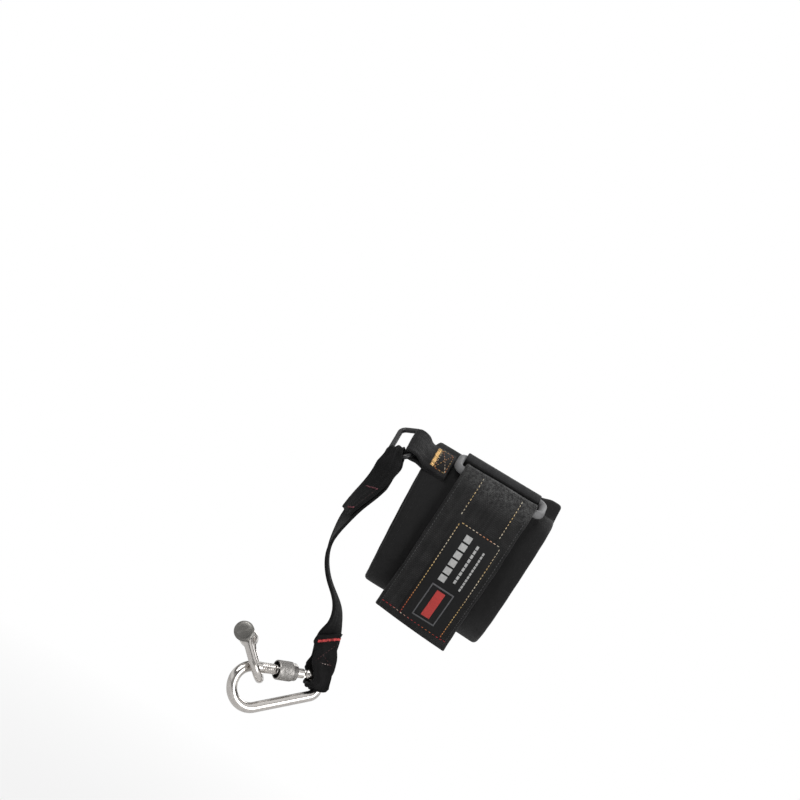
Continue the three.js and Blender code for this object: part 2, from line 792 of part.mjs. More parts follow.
function shackleBow() {
  const centre = bowBottom - bowHalf;
  const out = vec(1, 0, 0);
  const arc = between(-Math.PI / 2, Math.PI / 2, 14, (angle) => ({
    p: vec(centre + bowHalf * Math.cos(angle), bowHalf * Math.sin(angle), 0),
    t: vec(-Math.sin(angle), Math.cos(angle), 0),
  }));
  const path = [{ p: vec(pinX, -bowHalf, 0), t: out }, ...arc, { p: vec(pinX, bowHalf, 0), t: out.clone().negate() }];
  let bow = solidOf(loft(wireRings(path, Z, shackleWire / 2, 14), false));
  [-1, 1].forEach((side) => {
    const eye = new THREE.CylinderGeometry(shackleEye / 2, shackleEye / 2, shackleEyeWide, 20);
    bow = bow.add(solidOf(eye.translate(pinX, side * bowHalf, 0)));
  });
  const hole = new THREE.CylinderGeometry(
    shackleBore / 2,
    shackleBore / 2,
    bowHalf * 4,
    20,
  );
  return geometryOf(bow.subtract(solidOf(hole.translate(pinX, 0, 0))));
}

function shacklePin() {
  const face = bowHalf + shackleEyeWide / 2 + gap;
  const end = bowHalf + shackleEyeWide / 2 + shackleNutThick;
  const rod = new THREE.CylinderGeometry(shacklePinWire / 2, shacklePinWire / 2, end + face + gap, 18);
  rod.translate(pinX, (face + gap - end) / 2, 0);
  const head = new THREE.CylinderGeometry(shackleHead / 2, shackleHead / 2, shackleHeadThick, 24);
  head.translate(pinX, face + shackleHeadThick / 2, 0);
  return geometryOf(solidOf(rod).add(solidOf(head)));
}

// A group whose own X, Y and Z lie along three given directions at a place.
function placed(place, x, y, z, children) {
  const group = new THREE.Group();
  group.applyMatrix4(new THREE.Matrix4().makeBasis(x, y, z).setPosition(place));
  group.add(...children);
  return group;
}

const leanDown = vec(Math.cos(shackleAngle), 0, -Math.sin(shackleAngle));
const shackleDown = leanDown.clone().multiplyScalar(Math.cos(shackleLean))
  .addScaledVector(vec(0, -1, 0), Math.sin(shackleLean));
const shackleAcross = leanDown.clone().multiplyScalar(-Math.sin(shackleLean))
  .addScaledVector(vec(0, -1, 0), Math.cos(shackleLean));
const shackleSide = new THREE.Vector3().crossVectors(shackleDown, shackleAcross);

function toWorld(p) {
  return carabinerPlace.clone()
    .addScaledVector(carabinerLong, p.x)
    .addScaledVector(carabinerUp, p.y)
    .addScaledVector(carabinerFace, p.z);
}

const cuffDepths = {
  cloth: [0, clothThick],
  padding: [clothThick + gap, clothThick + gap + paddingThick],
  lining: [clothThick + paddingThick + 2 * gap, clothThick + paddingThick + liningThick + 2 * gap],
};

const wristband = new THREE.Group();
wristband.add(
  piece('cuff_cloth', cuffLayer(...cuffDepths.cloth), finishes.cloth),
  piece('cuff_padding', cuffLayer(...cuffDepths.padding), finishes.cloth),
  piece('cuff_lining', cuffLayer(...cuffDepths.lining), finishes.cloth),
  piece('cuff_edge_hand', edgeRoll(-1), finishes.cloth),
  piece('cuff_edge_elbow', edgeRoll(1), finishes.cloth),
  piece('buckle_ring', buckleRing(), finishes.greyPlastic),
  piece('buckle_anchor', buckleAnchor(), finishes.webbing),
  piece('strap_base', strapBase(), finishes.webbing),
  piece('pull_tab', pullTab(), finishes.webbing),
  piece('tab_hook_patch', hookPatch(), finishes.hook),
  piece('tab_label', labelPatch(), finishes.label),
  piece('side_loop', sideLoop(), finishes.webbing),
  piece('side_tack', sideTack(), finishes.orangeThread),
  piece('small_ring', smallRing(), finishes.blackPlastic),
  piece('lanyard_strap', lanyardStrap(), finishes.webbing),
  piece('lanyard_upper_loop', upperLoop(), finishes.webbing),
  piece('lanyard_lower_loop', lowerLoop(), finishes.webbing),
);
tackLevels.forEach((height, i) => {
  const side = height > upperTailZ ? -1 : 1;
  wristband.add(piece(`lanyard_tack_${i + 1}`, lanyardTack(height, side), finishes.redThread));
});

wristband.add(placed(carabinerPlace, carabinerLong, carabinerUp, carabinerFace, [
  piece('carabiner_frame', carabinerFrame(), finishes.steel),
  piece('carabiner_gate', gateArm(), finishes.steel),
  piece('carabiner_hinge_pin', hingePin(), finishes.steel),
  piece('carabiner_sleeve', lockSleeve(), finishes.satinSteel),
]));

const shacklePlace = toWorld(gateStart.clone().addScaledVector(gateWay, shackleRun));
wristband.add(placed(shacklePlace, shackleDown, shackleAcross, shackleSide, [
  piece('shackle_bow', shackleBow(), finishes.steel),
  piece('shackle_pin', shacklePin(), finishes.steel),
]));

export default wristband;
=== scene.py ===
import logging
import math
from dataclasses import dataclass, field
from enum import Enum
from typing import Callable, Sequence

import bpy
import numpy as np
from mathutils import Matrix, Vector


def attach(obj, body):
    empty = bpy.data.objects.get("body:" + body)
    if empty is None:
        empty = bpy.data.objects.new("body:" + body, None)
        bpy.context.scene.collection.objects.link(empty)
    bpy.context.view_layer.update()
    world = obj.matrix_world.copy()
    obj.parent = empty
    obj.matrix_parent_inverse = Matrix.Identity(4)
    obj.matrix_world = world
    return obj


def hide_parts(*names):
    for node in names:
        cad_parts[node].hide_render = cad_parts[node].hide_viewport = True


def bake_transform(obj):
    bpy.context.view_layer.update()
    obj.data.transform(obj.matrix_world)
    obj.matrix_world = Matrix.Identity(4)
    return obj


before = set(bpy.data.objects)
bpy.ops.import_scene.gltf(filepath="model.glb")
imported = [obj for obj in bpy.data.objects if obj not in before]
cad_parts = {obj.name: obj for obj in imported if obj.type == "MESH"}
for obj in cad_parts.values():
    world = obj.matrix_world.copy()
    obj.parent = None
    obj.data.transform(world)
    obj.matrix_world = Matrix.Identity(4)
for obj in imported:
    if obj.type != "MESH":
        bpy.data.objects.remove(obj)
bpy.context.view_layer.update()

MM = 0.001

# Edges of a piece that bend by more degrees than this stay sharp.
THREADED_EDGE = 30.0
STEEL_EDGE = 34.0
STITCH_EDGE = 38.0
PLASTIC_EDGE = 50.0
CLOTH_EDGE = 60.0
PADDED_EDGE = 70.0

LOG = logging.getLogger("tether_wristband")
Array = np.ndarray
Colour = tuple[float, float, float]


# ---------------------------------------------------------------- numbers and curves


def unit(v: Array) -> Array:
    """Directions of length 1: v / |v| along the last axis.

    Args:
        v: Vectors in the last axis.

    Returns:
        The vectors scaled to length 1.
    """
    v = np.asarray(v, float)
    return v / np.maximum(np.linalg.norm(v, axis=-1, keepdims=True), 1e-12)


def ease(x: Array) -> Array:
    """Soft step: t * t * (3 - 2 t), with t = x kept between 0 and 1."""
    t = np.clip(x, 0, 1)
    return t * t * (3 - 2 * t)


def run_lengths(points: Array) -> Array:
    """Distance walked along a line of points up to each of them, starting at 0."""
    steps = np.linalg.norm(np.diff(points, axis=0), axis=1)
    return np.concatenate([[0.0], np.cumsum(steps)])


def read_at(data: Array, walked: Array, at: Array) -> Array:
    """The columns of data, known at the lengths walked, read off at other lengths."""
    return np.column_stack([np.interp(at, walked, column) for column in data.T])


def square_to(v: Array, along: Array) -> Array:
    """Directions of v with their part along another direction taken out."""
    return unit(v - np.sum(v * along, axis=-1, keepdims=True) * along)


def full_turn(count: int) -> Array:
    """Angles in even steps round a full turn."""
    return np.linspace(0, 2 * np.pi, count, endpoint=False)


@dataclass
class Spline:
    """A natural cubic through points, whose parameter is the chord length walked so far."""

    points: Array
    knots: Array = field(init=False)
    bends: Array = field(init=False)

    def __post_init__(self) -> None:
        """Solves for the second derivatives: h0 m0 + 2 (h0 + h1) m1 + h1 m2 = 6 (slope1 - slope0)."""
        self.points = np.asarray(self.points, float)
        self.knots = run_lengths(self.points[:, :3])
        count = len(self.knots)
        h = np.diff(self.knots)
        slopes = np.diff(self.points, axis=0) / h[:, None]
        table = np.eye(count)
        right = np.zeros_like(self.points)
        inner = np.arange(1, count - 1)
        table[inner, inner - 1] = h[:-1]
        table[inner, inner] = 2 * (h[:-1] + h[1:])
        table[inner, inner + 1] = h[1:]
        right[inner] = 6 * (slopes[1:] - slopes[:-1])
        self.bends = np.linalg.solve(table, right)

    def at(self, t: Array) -> Array:
        """Points of the curve.

        Args:
            t: Chord lengths, from 0 to the last knot.

        Returns:
            One point for each value: the cubic of the span that holds it.
        """
        t = np.atleast_1d(np.asarray(t, float))
        i = np.clip(np.searchsorted(self.knots, t, side="right") - 1, 0, len(self.knots) - 2)
        h = (self.knots[i + 1] - self.knots[i])[:, None]
        a = (self.knots[i + 1] - t)[:, None]
        b = (t - self.knots[i])[:, None]
        low, high = self.points[i], self.points[i + 1]
        m0, m1 = self.bends[i], self.bends[i + 1]
        curve = m0 * a**3 / (6 * h) + m1 * b**3 / (6 * h)
        return curve + (low / h - m0 * h / 6) * a + (high / h - m1 * h / 6) * b

    def even(self, count: int, finer: int) -> Array:
        """Evenly spaced points.

        Args:
            count: How many.
            finer: How many points of the curve are looked at for each one.

        Returns:
            The points.
        """
        fine = self.at(np.linspace(0, self.knots[-1], finer * count))
        walked = run_lengths(fine[:, :3])
        return read_at(fine, walked, np.linspace(0, walked[-1], count))


@dataclass
class Rail:
    """A line of stations that a section is carried along: places, directions across and up.

    Places are millimetres. Across is the section's first axis and up its second.
    """

    place: Array
    across: Array
    up: Array

    @staticmethod
    def through(place: Array, up: Array, count: int) -> "Rail":
        """A smooth rail through a few places with a direction up at each.

        Args:
            place: Places to pass through, (n, 3).
            up: Direction up at each place, (n, 3).
            count: How many stations the rail gets.

        Returns:
            A rail with evenly spaced stations; across = up x along.
        """
        even = Spline(np.hstack([place, np.asarray(up, float)])).even(count, 12)
        along = unit(np.gradient(even[:, :3], axis=0))
        lift = square_to(even[:, 3:], along)
        return Rail(even[:, :3], np.cross(lift, along), lift)

    @staticmethod
    def flat(place: Array, ahead: Array, normal: Array) -> "Rail":
        """A rail in a plane: its up is the plane's normal, and across = ahead x up."""
        return Rail(place, np.cross(ahead, normal), np.tile(normal, (len(place), 1)))

    @property
    def length(self) -> float:
        """Length of the rail in millimetres."""
        return float(run_lengths(self.place)[-1])

    def moved(self, across: float | Array = 0.0, up: float = 0.0) -> "Rail":
        """The same rail shifted at every station by the same amounts across and up."""
        return Rail(self.place + across * self.across + up * self.up, self.across, self.up)

    def part(self, start: float, end: float, count: int) -> "Rail":
        """The stretch between two lengths along the rail.

        Args:
            start: Millimetres from the rail's start.
            end: Millimetres from the rail's start.
            count: How many stations the stretch gets.

        Returns:
            A new rail with places and directions read off the old one.
        """
        walked, at = run_lengths(self.place), np.linspace(start, end, count)
        place, across, up = (read_at(data, walked, at) for data in (self.place, self.across, self.up))
        return Rail(place, unit(across), unit(up))


def flat_section(width: float, thick: float, count: int) -> Array:
    """Section of a strap: flat faces with half-round selvedges, as (points, 2).

    Each side is a half ellipse of thick / 2 high and 0.9 thick / 2 wide.

    Args:
        width: Overall width.
        thick: Thickness.
        count: Points on each flat face.

    Returns:
        Points in order round the section, starting at one side of the upper face.
    """
    reach = 0.9 * thick / 2
    flat = np.linspace(-(width / 2 - reach), width / 2 - reach, count)
    turn = np.linspace(np.pi / 2, -np.pi / 2, 7)[1:-1]
    side = np.column_stack([width / 2 - reach + reach * np.cos(turn), thick / 2 * np.sin(turn)])
    top = np.column_stack([flat, np.full(count, thick / 2)])
    return np.vstack([top, side, -top, -side])


def round_section(radius: float, count: int) -> Array:
    """Section of a rod: (radius cos a, radius sin a), as (points, 2)."""
    turn = full_turn(count)
    return np.column_stack([radius * np.cos(turn), radius * np.sin(turn)])


def repeated(section: Array, count: int) -> Array:
    """A section once for each station, free to change from one to the next."""
    return np.broadcast_to(section, (count, *section.shape)).copy()


def sweep(rail: Rail, section: Array, scale: Array | None = None) -> Array:
    """A section carried along a rail: place + x across + y up.

    Args:
        rail: Where the section goes.
        section: (points, 2), or (stations, points, 2) where it changes.
        scale: Factors for x and y at each station, (stations, 2), or None.

    Returns:
        A grid of points, (stations, points, 3).
    """
    shape = np.broadcast_to(section, (len(rail.place), *np.shape(section)[-2:]))
    if scale is not None:
        shape = shape * scale[:, None, :]
    across = shape[..., 0:1] * rail.across[:, None, :]
    return rail.place[:, None, :] + across + shape[..., 1:2] * rail.up[:, None, :]


def turned(profile: Array, centre: Array, axis: Array, count: int) -> Array:
    """A profile turned about an axis: centre + h axis + r (cos a, sin a) square to it.

    Args:
        profile: (points, 2) of radius and height.
        centre: Where height 0 is.
        axis: Direction of the axis.
        count: Steps round the turn.

    Returns:
        A grid of points, (points, count, 3).
    """
    axis = unit(axis)
    helper = np.array([0.0, 0.0, 1.0]) if abs(axis[2]) < 0.8 else np.array([1.0, 0.0, 0.0])
    first = unit(np.cross(axis, helper))
    second = np.cross(axis, first)
    turn = full_turn(count)
    ring = np.cos(turn)[:, None] * first + np.sin(turn)[:, None] * second
    return centre + profile[:, None, 1:2] * axis + profile[:, None, 0:1] * ring


def helix(x: Array, turn: Array, pitch: float) -> Array:
    """A thread's groove from 0 to 1: (1 + sin(2 pi x / pitch + turn)) / 2."""
    return 0.5 + 0.5 * np.sin(2 * np.pi * x / pitch + turn[None, :])


def about_x(x: Array, radius: Array, turn: Array) -> Array:
    """A grid of (x, radius cos a, radius sin a)."""
    return np.stack([np.broadcast_to(x, radius.shape), radius * np.cos(turn), radius * np.sin(turn)], -1)


# ---------------------------------------------------------------- meshes


class Caps(Enum):
    """How the two ends of a grid that is open along its rows are closed."""

    STRIP = "strip"
    JOINED = "joined"


@dataclass
class Surface:
    """Faces built from one or more grids, with a UV map in millimetres and a tint for each point."""

    points: list[Array] = field(default_factory=list)
    quads: list[Array] = field(default_factory=list)
    corners: list[Array] = field(default_factory=list)
    tints: list[Array] = field(default_factory=list)
    total: int = 0

    def add(self, grid: Array, caps: Caps = Caps.STRIP, tint: Array | None = None) -> "Surface":
        """Adds a grid that is closed round its columns.

        The UV is (length walked round the section, length walked along the rail), both from the middle
        station, so a weave keeps its size.

        Args:
            grid: (rows, columns, 3) in millimetres; columns run round the section.
            caps: How the first and the last row are closed.
            tint: Colour factors, (3,) or (rows, columns, 3).

        Returns:
            This surface, so that calls can follow each other.
        """
        rows, cols = grid.shape[:2]
        joined = caps is Caps.JOINED
        middle = grid[rows // 2]
        round_run = run_lengths(np.vstack([middle, middle[:1]]))
        line = np.mean(grid, axis=1)
        along_run = run_lengths(np.vstack([line, line[:1]]) if joined else line)
        spans = rows if joined else rows - 1
        i, j = np.meshgrid(np.arange(spans), np.arange(cols), indexing="ij")
        near, far = i % rows, (i + 1) % rows
        left, right = j, (j + 1) % cols
        quad = np.stack([near * cols + left, near * cols + right, far * cols + right, far * cols + left], -1)
        u = np.stack([round_run[j], round_run[j + 1], round_run[j + 1], round_run[j]], -1)
        v = np.stack([along_run[i], along_run[i], along_run[i + 1], along_run[i + 1]], -1)
        faces = [quad.reshape(-1, 4)]
        maps = [np.stack([u, v], -1).reshape(-1, 4, 2)]
        if caps is Caps.STRIP:
            for row, flip in ((0, True), (rows - 1, False)):
                k = np.arange(cols // 2 - 1)
                strip = np.stack([k, k + 1, cols - 2 - k, cols - 1 - k], -1)
                strip = strip[:, ::-1] if flip else strip
                faces.append(strip + row * cols)
                maps.append(self._end_map(grid[row], strip))
        flat, quads, corners = grid.reshape(-1, 3), np.vstack(faces), np.vstack(maps)
        if self._inside_out(flat - flat.mean(axis=0), quads):
            quads, corners = quads[:, ::-1], corners[:, ::-1]
        self.points.append(flat)
        self.quads.append(quads + self.total)
        self.corners.append(corners)
        shade = np.ones((rows * cols, 3)) if tint is None else np.broadcast_to(tint, grid.shape).reshape(-1, 3)
        self.tints.append(shade)
        self.total += rows * cols
        return self

    @staticmethod
    def _inside_out(points: Array, quads: Array) -> bool:
        """Whether the faces enclose a negative volume: the sum of a . (b x c) + a . (c x d) is below 0."""
        a, b, c, d = (points[quads[:, k]] for k in range(4))
        return float(np.sum(a * np.cross(b, c)) + np.sum(a * np.cross(c, d))) < 0

    @staticmethod
    def _end_map(ring: Array, strip: Array) -> Array:
        """UV of an end: each corner's distance from the ring's first point, and its depth, in millimetres.

        Args:
            ring: The end's points, in order.
            strip: Numbers of each face's corners.

        Returns:
            Millimetres, (faces, 4, 2).
        """
        along = unit(ring[len(ring) // 2] - ring[0])
        flat = (ring - ring[0]) @ along
        deep = np.linalg.norm(ring - ring[0] - flat[:, None] * along, axis=1)
        return np.stack([flat, deep], -1)[strip]

    def copies(self, grid: Array, places: Array, axes: Array, tint: Array) -> "Surface":
        """Adds one small closed grid many times: place + x axis0 + y axis1 + z axis2.

        Args:
            grid: (rows, columns, 3) in its own axes, in millimetres.
            places: (n, 3).
            axes: (n, 3, 3), the three axes of each copy as rows.
            tint: Colour factors, (n, 3).

        Returns:
            This surface.
        """
        for place, turn, shade in zip(places, axes, tint):
            self.add(place + grid @ turn, Caps.STRIP, shade)
        return self

    def make(self, name: str, sharp_deg: float = STITCH_EDGE) -> bpy.types.Object:
        """Makes the Blender object, at the origin, in metres, with its faces pointing out.

        Args:
            name: The piece's name.
            sharp_deg: Edges that bend more than this stay sharp.

        Returns:
            The new object, linked to the scene.
        """
        points = np.vstack(self.points) * MM
        quads = np.vstack(self.quads)
        corners = np.vstack(self.corners)
        mesh = bpy.data.meshes.new(name)
        mesh.from_pydata(points.tolist(), [], quads.tolist())
        uv = mesh.uv_layers.new(name="run")
        uv.data.foreach_set("uv", corners.reshape(-1).astype(np.float32))
        colour = mesh.color_attributes.new(name="tint", type="FLOAT_COLOR", domain="POINT")
        tint = np.column_stack([np.vstack(self.tints), np.ones(len(points))])
        colour.data.foreach_set("color", tint.reshape(-1).astype(np.float32))
        return link_mesh(name, mesh, sharp_deg)


def placed(name: str, data: bpy.types.ID) -> bpy.types.Object:
    """A new object in the scene.

    Args:
        name: Its name.
        data: Its mesh, lamp or camera.

    Returns:
        The object.
    """
    thing = bpy.data.objects.new(name, data)
    bpy.context.scene.collection.objects.link(thing)
    return thing


def link_mesh(name: str, mesh: bpy.types.Mesh, sharp_deg: float) -> bpy.types.Object:
    """Shades a mesh smooth up to an angle and puts it in the scene.

    Args:
        name: The object's name.
        mesh: Its mesh.
        sharp_deg: Edges that bend more than this stay sharp.

    Returns:
        The new object.
    """
    mesh.validate(clean_customdata=False)
    mesh.polygons.foreach_set("use_smooth", np.ones(len(mesh.polygons), bool))
    mesh.set_sharp_from_angle(angle=math.radians(sharp_deg))
    mesh.update()
    return placed(name, mesh)


class Change(Enum):
    """What a second closed piece does to the first."""

    JOIN = "UNION"
    CUT = "DIFFERENCE"


def changed(piece: bpy.types.Object, tool: bpy.types.Object, way: Change) -> bpy.types.Object:
    """Joins or cuts two closed steel pieces and keeps the result as a plain mesh.

    Args:
        piece: The piece that stays; it keeps its name.
        tool: The piece that is used up.
        way: Whether the tool is joined on or cut out.

    Returns:
        The new object under the first piece's name.
    """
    change = piece.modifiers.new("change", "BOOLEAN")
    change.operation = way.value
    change.solver = "EXACT"
    change.object = tool
    name = piece.name
    graph = bpy.context.evaluated_depsgraph_get()
    mesh = bpy.data.meshes.new_from_object(piece.evaluated_get(graph))
    bpy.data.objects.remove(piece)
    bpy.data.objects.remove(tool)
    mesh.name = name
    return link_mesh(name, mesh, STEEL_EDGE)


def block(name: str, centre: Array, axes: Array, size: Sequence[float]) -> bpy.types.Object:
    """A box that cuts a slot: centre +- size / 2 along its three axes.

    Args:
        name: The object's name.
        centre: Its middle, in millimetres.
        axes: Its three axes as rows.
        size: Its three sizes.

    Returns:
        The box.
    """
    half = np.asarray(size) / 2
    ring = np.array([[-1, -1], [1, -1], [1, 1], [-1, 1]], float)
    grid = np.stack([np.column_stack([np.full(4, s), ring]) for s in (-1.0, 1.0)]) * half
    return Surface().add(centre + grid @ np.asarray(axes, float)).make(name)


# ---------------------------------------------------------------- shader groups and finishes

Socket = bpy.types.NodeSocket


class Graph:
    """A node tree that is filled by short calls; each call gives the new node's output socket."""

    def __init__(self, tree: bpy.types.NodeTree) -> None:
        """Keeps the tree.

        Args:
            tree: A material's or a group's node tree.
        """
        self.tree = tree

    def node(self, kind: str, inputs: dict | None = None, **settings: object) -> bpy.types.Node:
        """Adds a node.

        Args:
            kind: Its type name.
            inputs: Values or sockets for its inputs, by name or number.
            settings: Properties of the node.

        Returns:
            The node.
        """
        node = self.tree.nodes.new(kind)
        for key, value in settings.items():
            setattr(node, key, value)
        for key, value in (inputs or {}).items():
            self.feed(node.inputs[key], value)
        return node

    def feed(self, socket: Socket, value: object) -> None:
        """Links a socket to an input, or sets the input's own value."""
        if isinstance(value, bpy.types.NodeSocket):
            self.tree.links.new(value, socket)
        else:
            socket.default_value = value

    def math(self, how: str, a: object, b: object = 0.0, c: object = 0.0) -> Socket:
        """One Math node: how(a, b, c)."""
        return self.node("ShaderNodeMath", {0: a, 1: b, 2: c}, operation=how).outputs[0]

    def times(self, a: object, b: object) -> Socket:
        """a * b."""
        return self.math("MULTIPLY", a, b)

    def vector(self, how: str, a: object, b: object = (0.0, 0.0, 0.0)) -> Socket:
        """One Vector Math node: how(a, b)."""
        return self.node("ShaderNodeVectorMath", {0: a, 1: b}, operation=how).outputs[0]

    def noise(self, where: Socket, scale: object, detail: float, rough: float = 0.55) -> Socket:
        """Soft noise from 0 to 1 at a scale per millimetre."""
        inputs = {"Vector": where, "Scale": scale, "Detail": detail, "Roughness": rough}
        return self.node("ShaderNodeTexNoise", inputs).outputs[0]

    def between(self, value: Socket, low: float, high: float, out_low: float, out_high: float) -> Socket:
        """A value mapped from low..high to out_low..out_high and kept there."""
        inputs = {"Value": value, "From Min": low, "From Max": high, "To Min": out_low, "To Max": out_high}
        return self.node("ShaderNodeMapRange", inputs, clamp=True).outputs[0]

    def mix(self, share: object, a: object, b: object, how: str = "MIX") -> Socket:
        """Two colours mixed by a share.

        Args:
            share: How much of b there is.
            a: The first colour.
            b: The second colour.
            how: The blend type.

        Returns:
            The mixed colour.
        """
        node = self.node("ShaderNodeMix", data_type="RGBA", blend_type=how)
        self.feed(node.inputs[0], share)
        self.feed(node.inputs[6], a)
        self.feed(node.inputs[7], b)
        return node.outputs[2]

    def toned(self, colour: Colour, tone: Socket) -> Socket:
        """A colour times a grey tone."""
        shade = self.node("ShaderNodeCombineColor", {0: tone, 1: tone, 2: tone}).outputs[0]
        return self.mix(1.0, rgb(*colour), shade, "MULTIPLY")

    def tinted(self, colour: Socket) -> Socket:
        """A colour times the piece's own factors."""
        return self.mix(1.0, colour, self.tint(), "MULTIPLY")

    def place(self) -> Socket:
        """Object coordinates in millimetres."""
        coords = self.node("ShaderNodeTexCoord").outputs["Object"]
        return self.vector("MULTIPLY", coords, (1000.0, 1000.0, 1000.0))

    def run(self) -> Socket:
        """The piece's own UV map, which holds millimetres."""
        return self.node("ShaderNodeUVMap", uv_map="run").outputs[0]

    def tint(self) -> Socket:
        """The piece's colour factors."""
        return self.node("ShaderNodeAttribute", attribute_name="tint").outputs["Color"]

    def group(self, group: bpy.types.NodeTree, **inputs: object) -> bpy.types.Node:
        """Places a shader group; inputs are given by name, with _ for spaces.

        Args:
            group: The shader group.
            inputs: Values or sockets for its inputs.

        Returns:
            The node.
        """
        node = self.tree.nodes.new("ShaderNodeGroup")
        node.node_tree = group
        for key, value in inputs.items():
            self.feed(node.inputs[key.replace("_", " ")], value)
        return node

    def bump(self, height: Socket, strength: float, distance_mm: float) -> Socket:
        """A normal from a height in units of distance_mm."""
        inputs = {"Height": height, "Strength": strength, "Distance": distance_mm * MM}
        return self.node("ShaderNodeBump", inputs).outputs[0]


def new_group(name: str, takes: dict[str, float | None],
              fill: Callable[[Graph, Sequence[Socket]], dict[str, Socket]]) -> bpy.types.NodeTree:
    """Builds a shader group whose outputs are values.

    Args:
        name: The group's name.
        takes: Inputs by name, with a value's default, or None for a vector.
        fill: Makes the nodes from a Graph and the inputs, and names the sockets for the outputs.

    Returns:
        The group's tree.
    """
    tree = bpy.data.node_groups.new(name, "ShaderNodeTree")
    for key, value in takes.items():
        kind = "NodeSocketVector" if value is None else "NodeSocketFloat"
        socket = tree.interface.new_socket(key, in_out="INPUT", socket_type=kind)
        if value is not None:
            socket.default_value = value
    graph = Graph(tree)
    gives = fill(graph, graph.node("NodeGroupInput").outputs)
    for key in gives:
        tree.interface.new_socket(key, in_out="OUTPUT", socket_type="NodeSocketFloat")
    graph.node("NodeGroupOutput", gives)
    return tree


class Effects:
    """The shader groups that several finishes share; each is built once."""

    def __init__(self) -> None:
        """Builds every group."""
        self.weave = new_group("Webbing Weave", {"Run": None, "Row": 1.0, "Column": 1.0}, self._weave)
        self.fibres = new_group("Cloth Fibres", {"Place": None, "Hair": 6.0, "Clump": 0.5}, self._fibres)
        self.lint = new_group("Clinging Lint", {"Place": None, "Amount": 0.5}, self._lint)
        self.handled = new_group("Handling Wear", {"Place": None, "Scale": 1.0}, self._handled)

    @staticmethod
    def _weave(g: Graph, source: Sequence[Socket]) -> dict[str, Socket]:
        """Webbing: rows of yarn floats across the strap, each row half a column off the last.

        Height = |sin(pi v / row)| * |sin(pi (u / column + row number / 2))|; Row is the row's part alone,
        and Yarn is a number from 0 to 1 that is the same along one column.

        Args:
            g: A Graph on the group's tree.
            source: The group's inputs.

        Returns:
            Sockets for the group's outputs.
        """
        split = g.node("ShaderNodeSeparateXYZ", {0: source["Run"]})
        rows = g.math("DIVIDE", split.outputs[1], source["Row"])
        cols = g.math("DIVIDE", split.outputs[0], source["Column"])
        shift = g.times(g.math("FLOOR", rows), 0.5)
        across = g.math("ABSOLUTE", g.math("SINE", g.times(g.math("ADD", cols, shift), math.pi)))
        along = g.math("ABSOLUTE", g.math("SINE", g.times(rows, math.pi)))
        both = g.times(g.math("POWER", across, 0.6), g.math("POWER", along, 0.6))
        number = g.node("ShaderNodeTexWhiteNoise", {"W": g.math("FLOOR", cols)}, noise_dimensions="1D")
        return {"Height": both, "Yarn": number.outputs[0]}

    @staticmethod
    def _fibres(g: Graph, source: Sequence[Socket]) -> dict[str, Socket]:
        """Brushed or knitted cloth: tangled short hairs over soft clumps.

        Height = 0.6 fine noise + 0.4 clumps; Clump is the coarse part from 0 to 1.

        Args:
            g: A Graph on the group's tree.
            source: The group's inputs.

        Returns:
            Sockets for the group's outputs.
        """
        place = source["Place"]
        warp = g.node("ShaderNodeTexNoise", {"Vector": place, "Scale": 1.1, "Detail": 2.0})
        bent = g.vector("ADD", place, g.vector("SCALE", warp.outputs[1]))
        fine = g.times(g.noise(bent, source["Hair"], 4.0, 0.7), 0.6)
        clump = g.noise(place, source["Clump"], 3.0, 0.6)
        return {"Height": g.math("MULTIPLY_ADD", clump, 0.4, fine), "Clump": clump}

    @staticmethod
    def _lint(g: Graph, source: Sequence[Socket]) -> dict[str, Socket]:
        """Pale specks and hairs that cling to black cloth: a mask from 0 to 1, where cells pass a limit.

        Args:
            g: A Graph on the group's tree.
            source: The group's inputs.

        Returns:
            Sockets for the group's outputs.
        """
        place = source["Place"]
        cells = g.node("ShaderNodeTexVoronoi", {"Vector": place, "Scale": 1.7}, feature="F1")
        near = g.between(cells.outputs["Distance"], 0.06, 0.16, 1.0, 0.0)
        pick = g.node("ShaderNodeTexWhiteNoise", {"Vector": cells.outputs["Position"]}, noise_dimensions="3D")
        chosen = g.math("LESS_THAN", pick.outputs[0], source["Amount"])
        return {"Mask": g.times(near, chosen)}

    @staticmethod
    def _handled(g: Graph, source: Sequence[Socket]) -> dict[str, Socket]:
        """Wear on hard parts: smudges, fine scratches and rubbed edges.

        Smudge is soft noise, Scratch a few thin lines where a stretched noise crosses its middle, and Edge
        a mask of the outward edges from the surface's own pointiness.

        Args:
            g: A Graph on the group's tree.
            source: The group's inputs.

        Returns:
            Sockets for the group's outputs.
        """
        place = g.vector("SCALE", source["Place"])
        g.feed(place.node.inputs["Scale"], source["Scale"])
        long_way = g.vector("MULTIPLY", place, (0.35, 2.6, 0.8))
        off = g.math("ABSOLUTE", g.math("SUBTRACT", g.noise(long_way, 0.9, 5.0, 0.65), 0.5))
        point = g.node("ShaderNodeNewGeometry").outputs["Pointiness"]
        rough = g.noise(place, 2.2, 4.0)
        edge = g.times(g.between(point, 0.505, 0.56, 0.0, 1.0), g.between(rough, 0.35, 0.6, 0.3, 1.0))
        return {"Smudge": g.noise(place, 0.25, 3.0), "Scratch": g.between(off, 0.004, 0.014, 1.0, 0.0), "Edge": edge}


def shader(name: str) -> tuple[bpy.types.Material, Graph, bpy.types.Node]:
    """Starts a material.

    Args:
        name: The material's name.

    Returns:
        The material, a Graph on its tree and its Principled node.
    """
    material = bpy.data.materials.new(name)
    material.use_nodes = True
    graph = Graph(material.node_tree)
    return material, graph, material.node_tree.nodes["Principled BSDF"]


def rgb(*values: float) -> tuple[float, float, float, float]:
    """A linear colour with full alpha."""
    return (*values, 1.0)


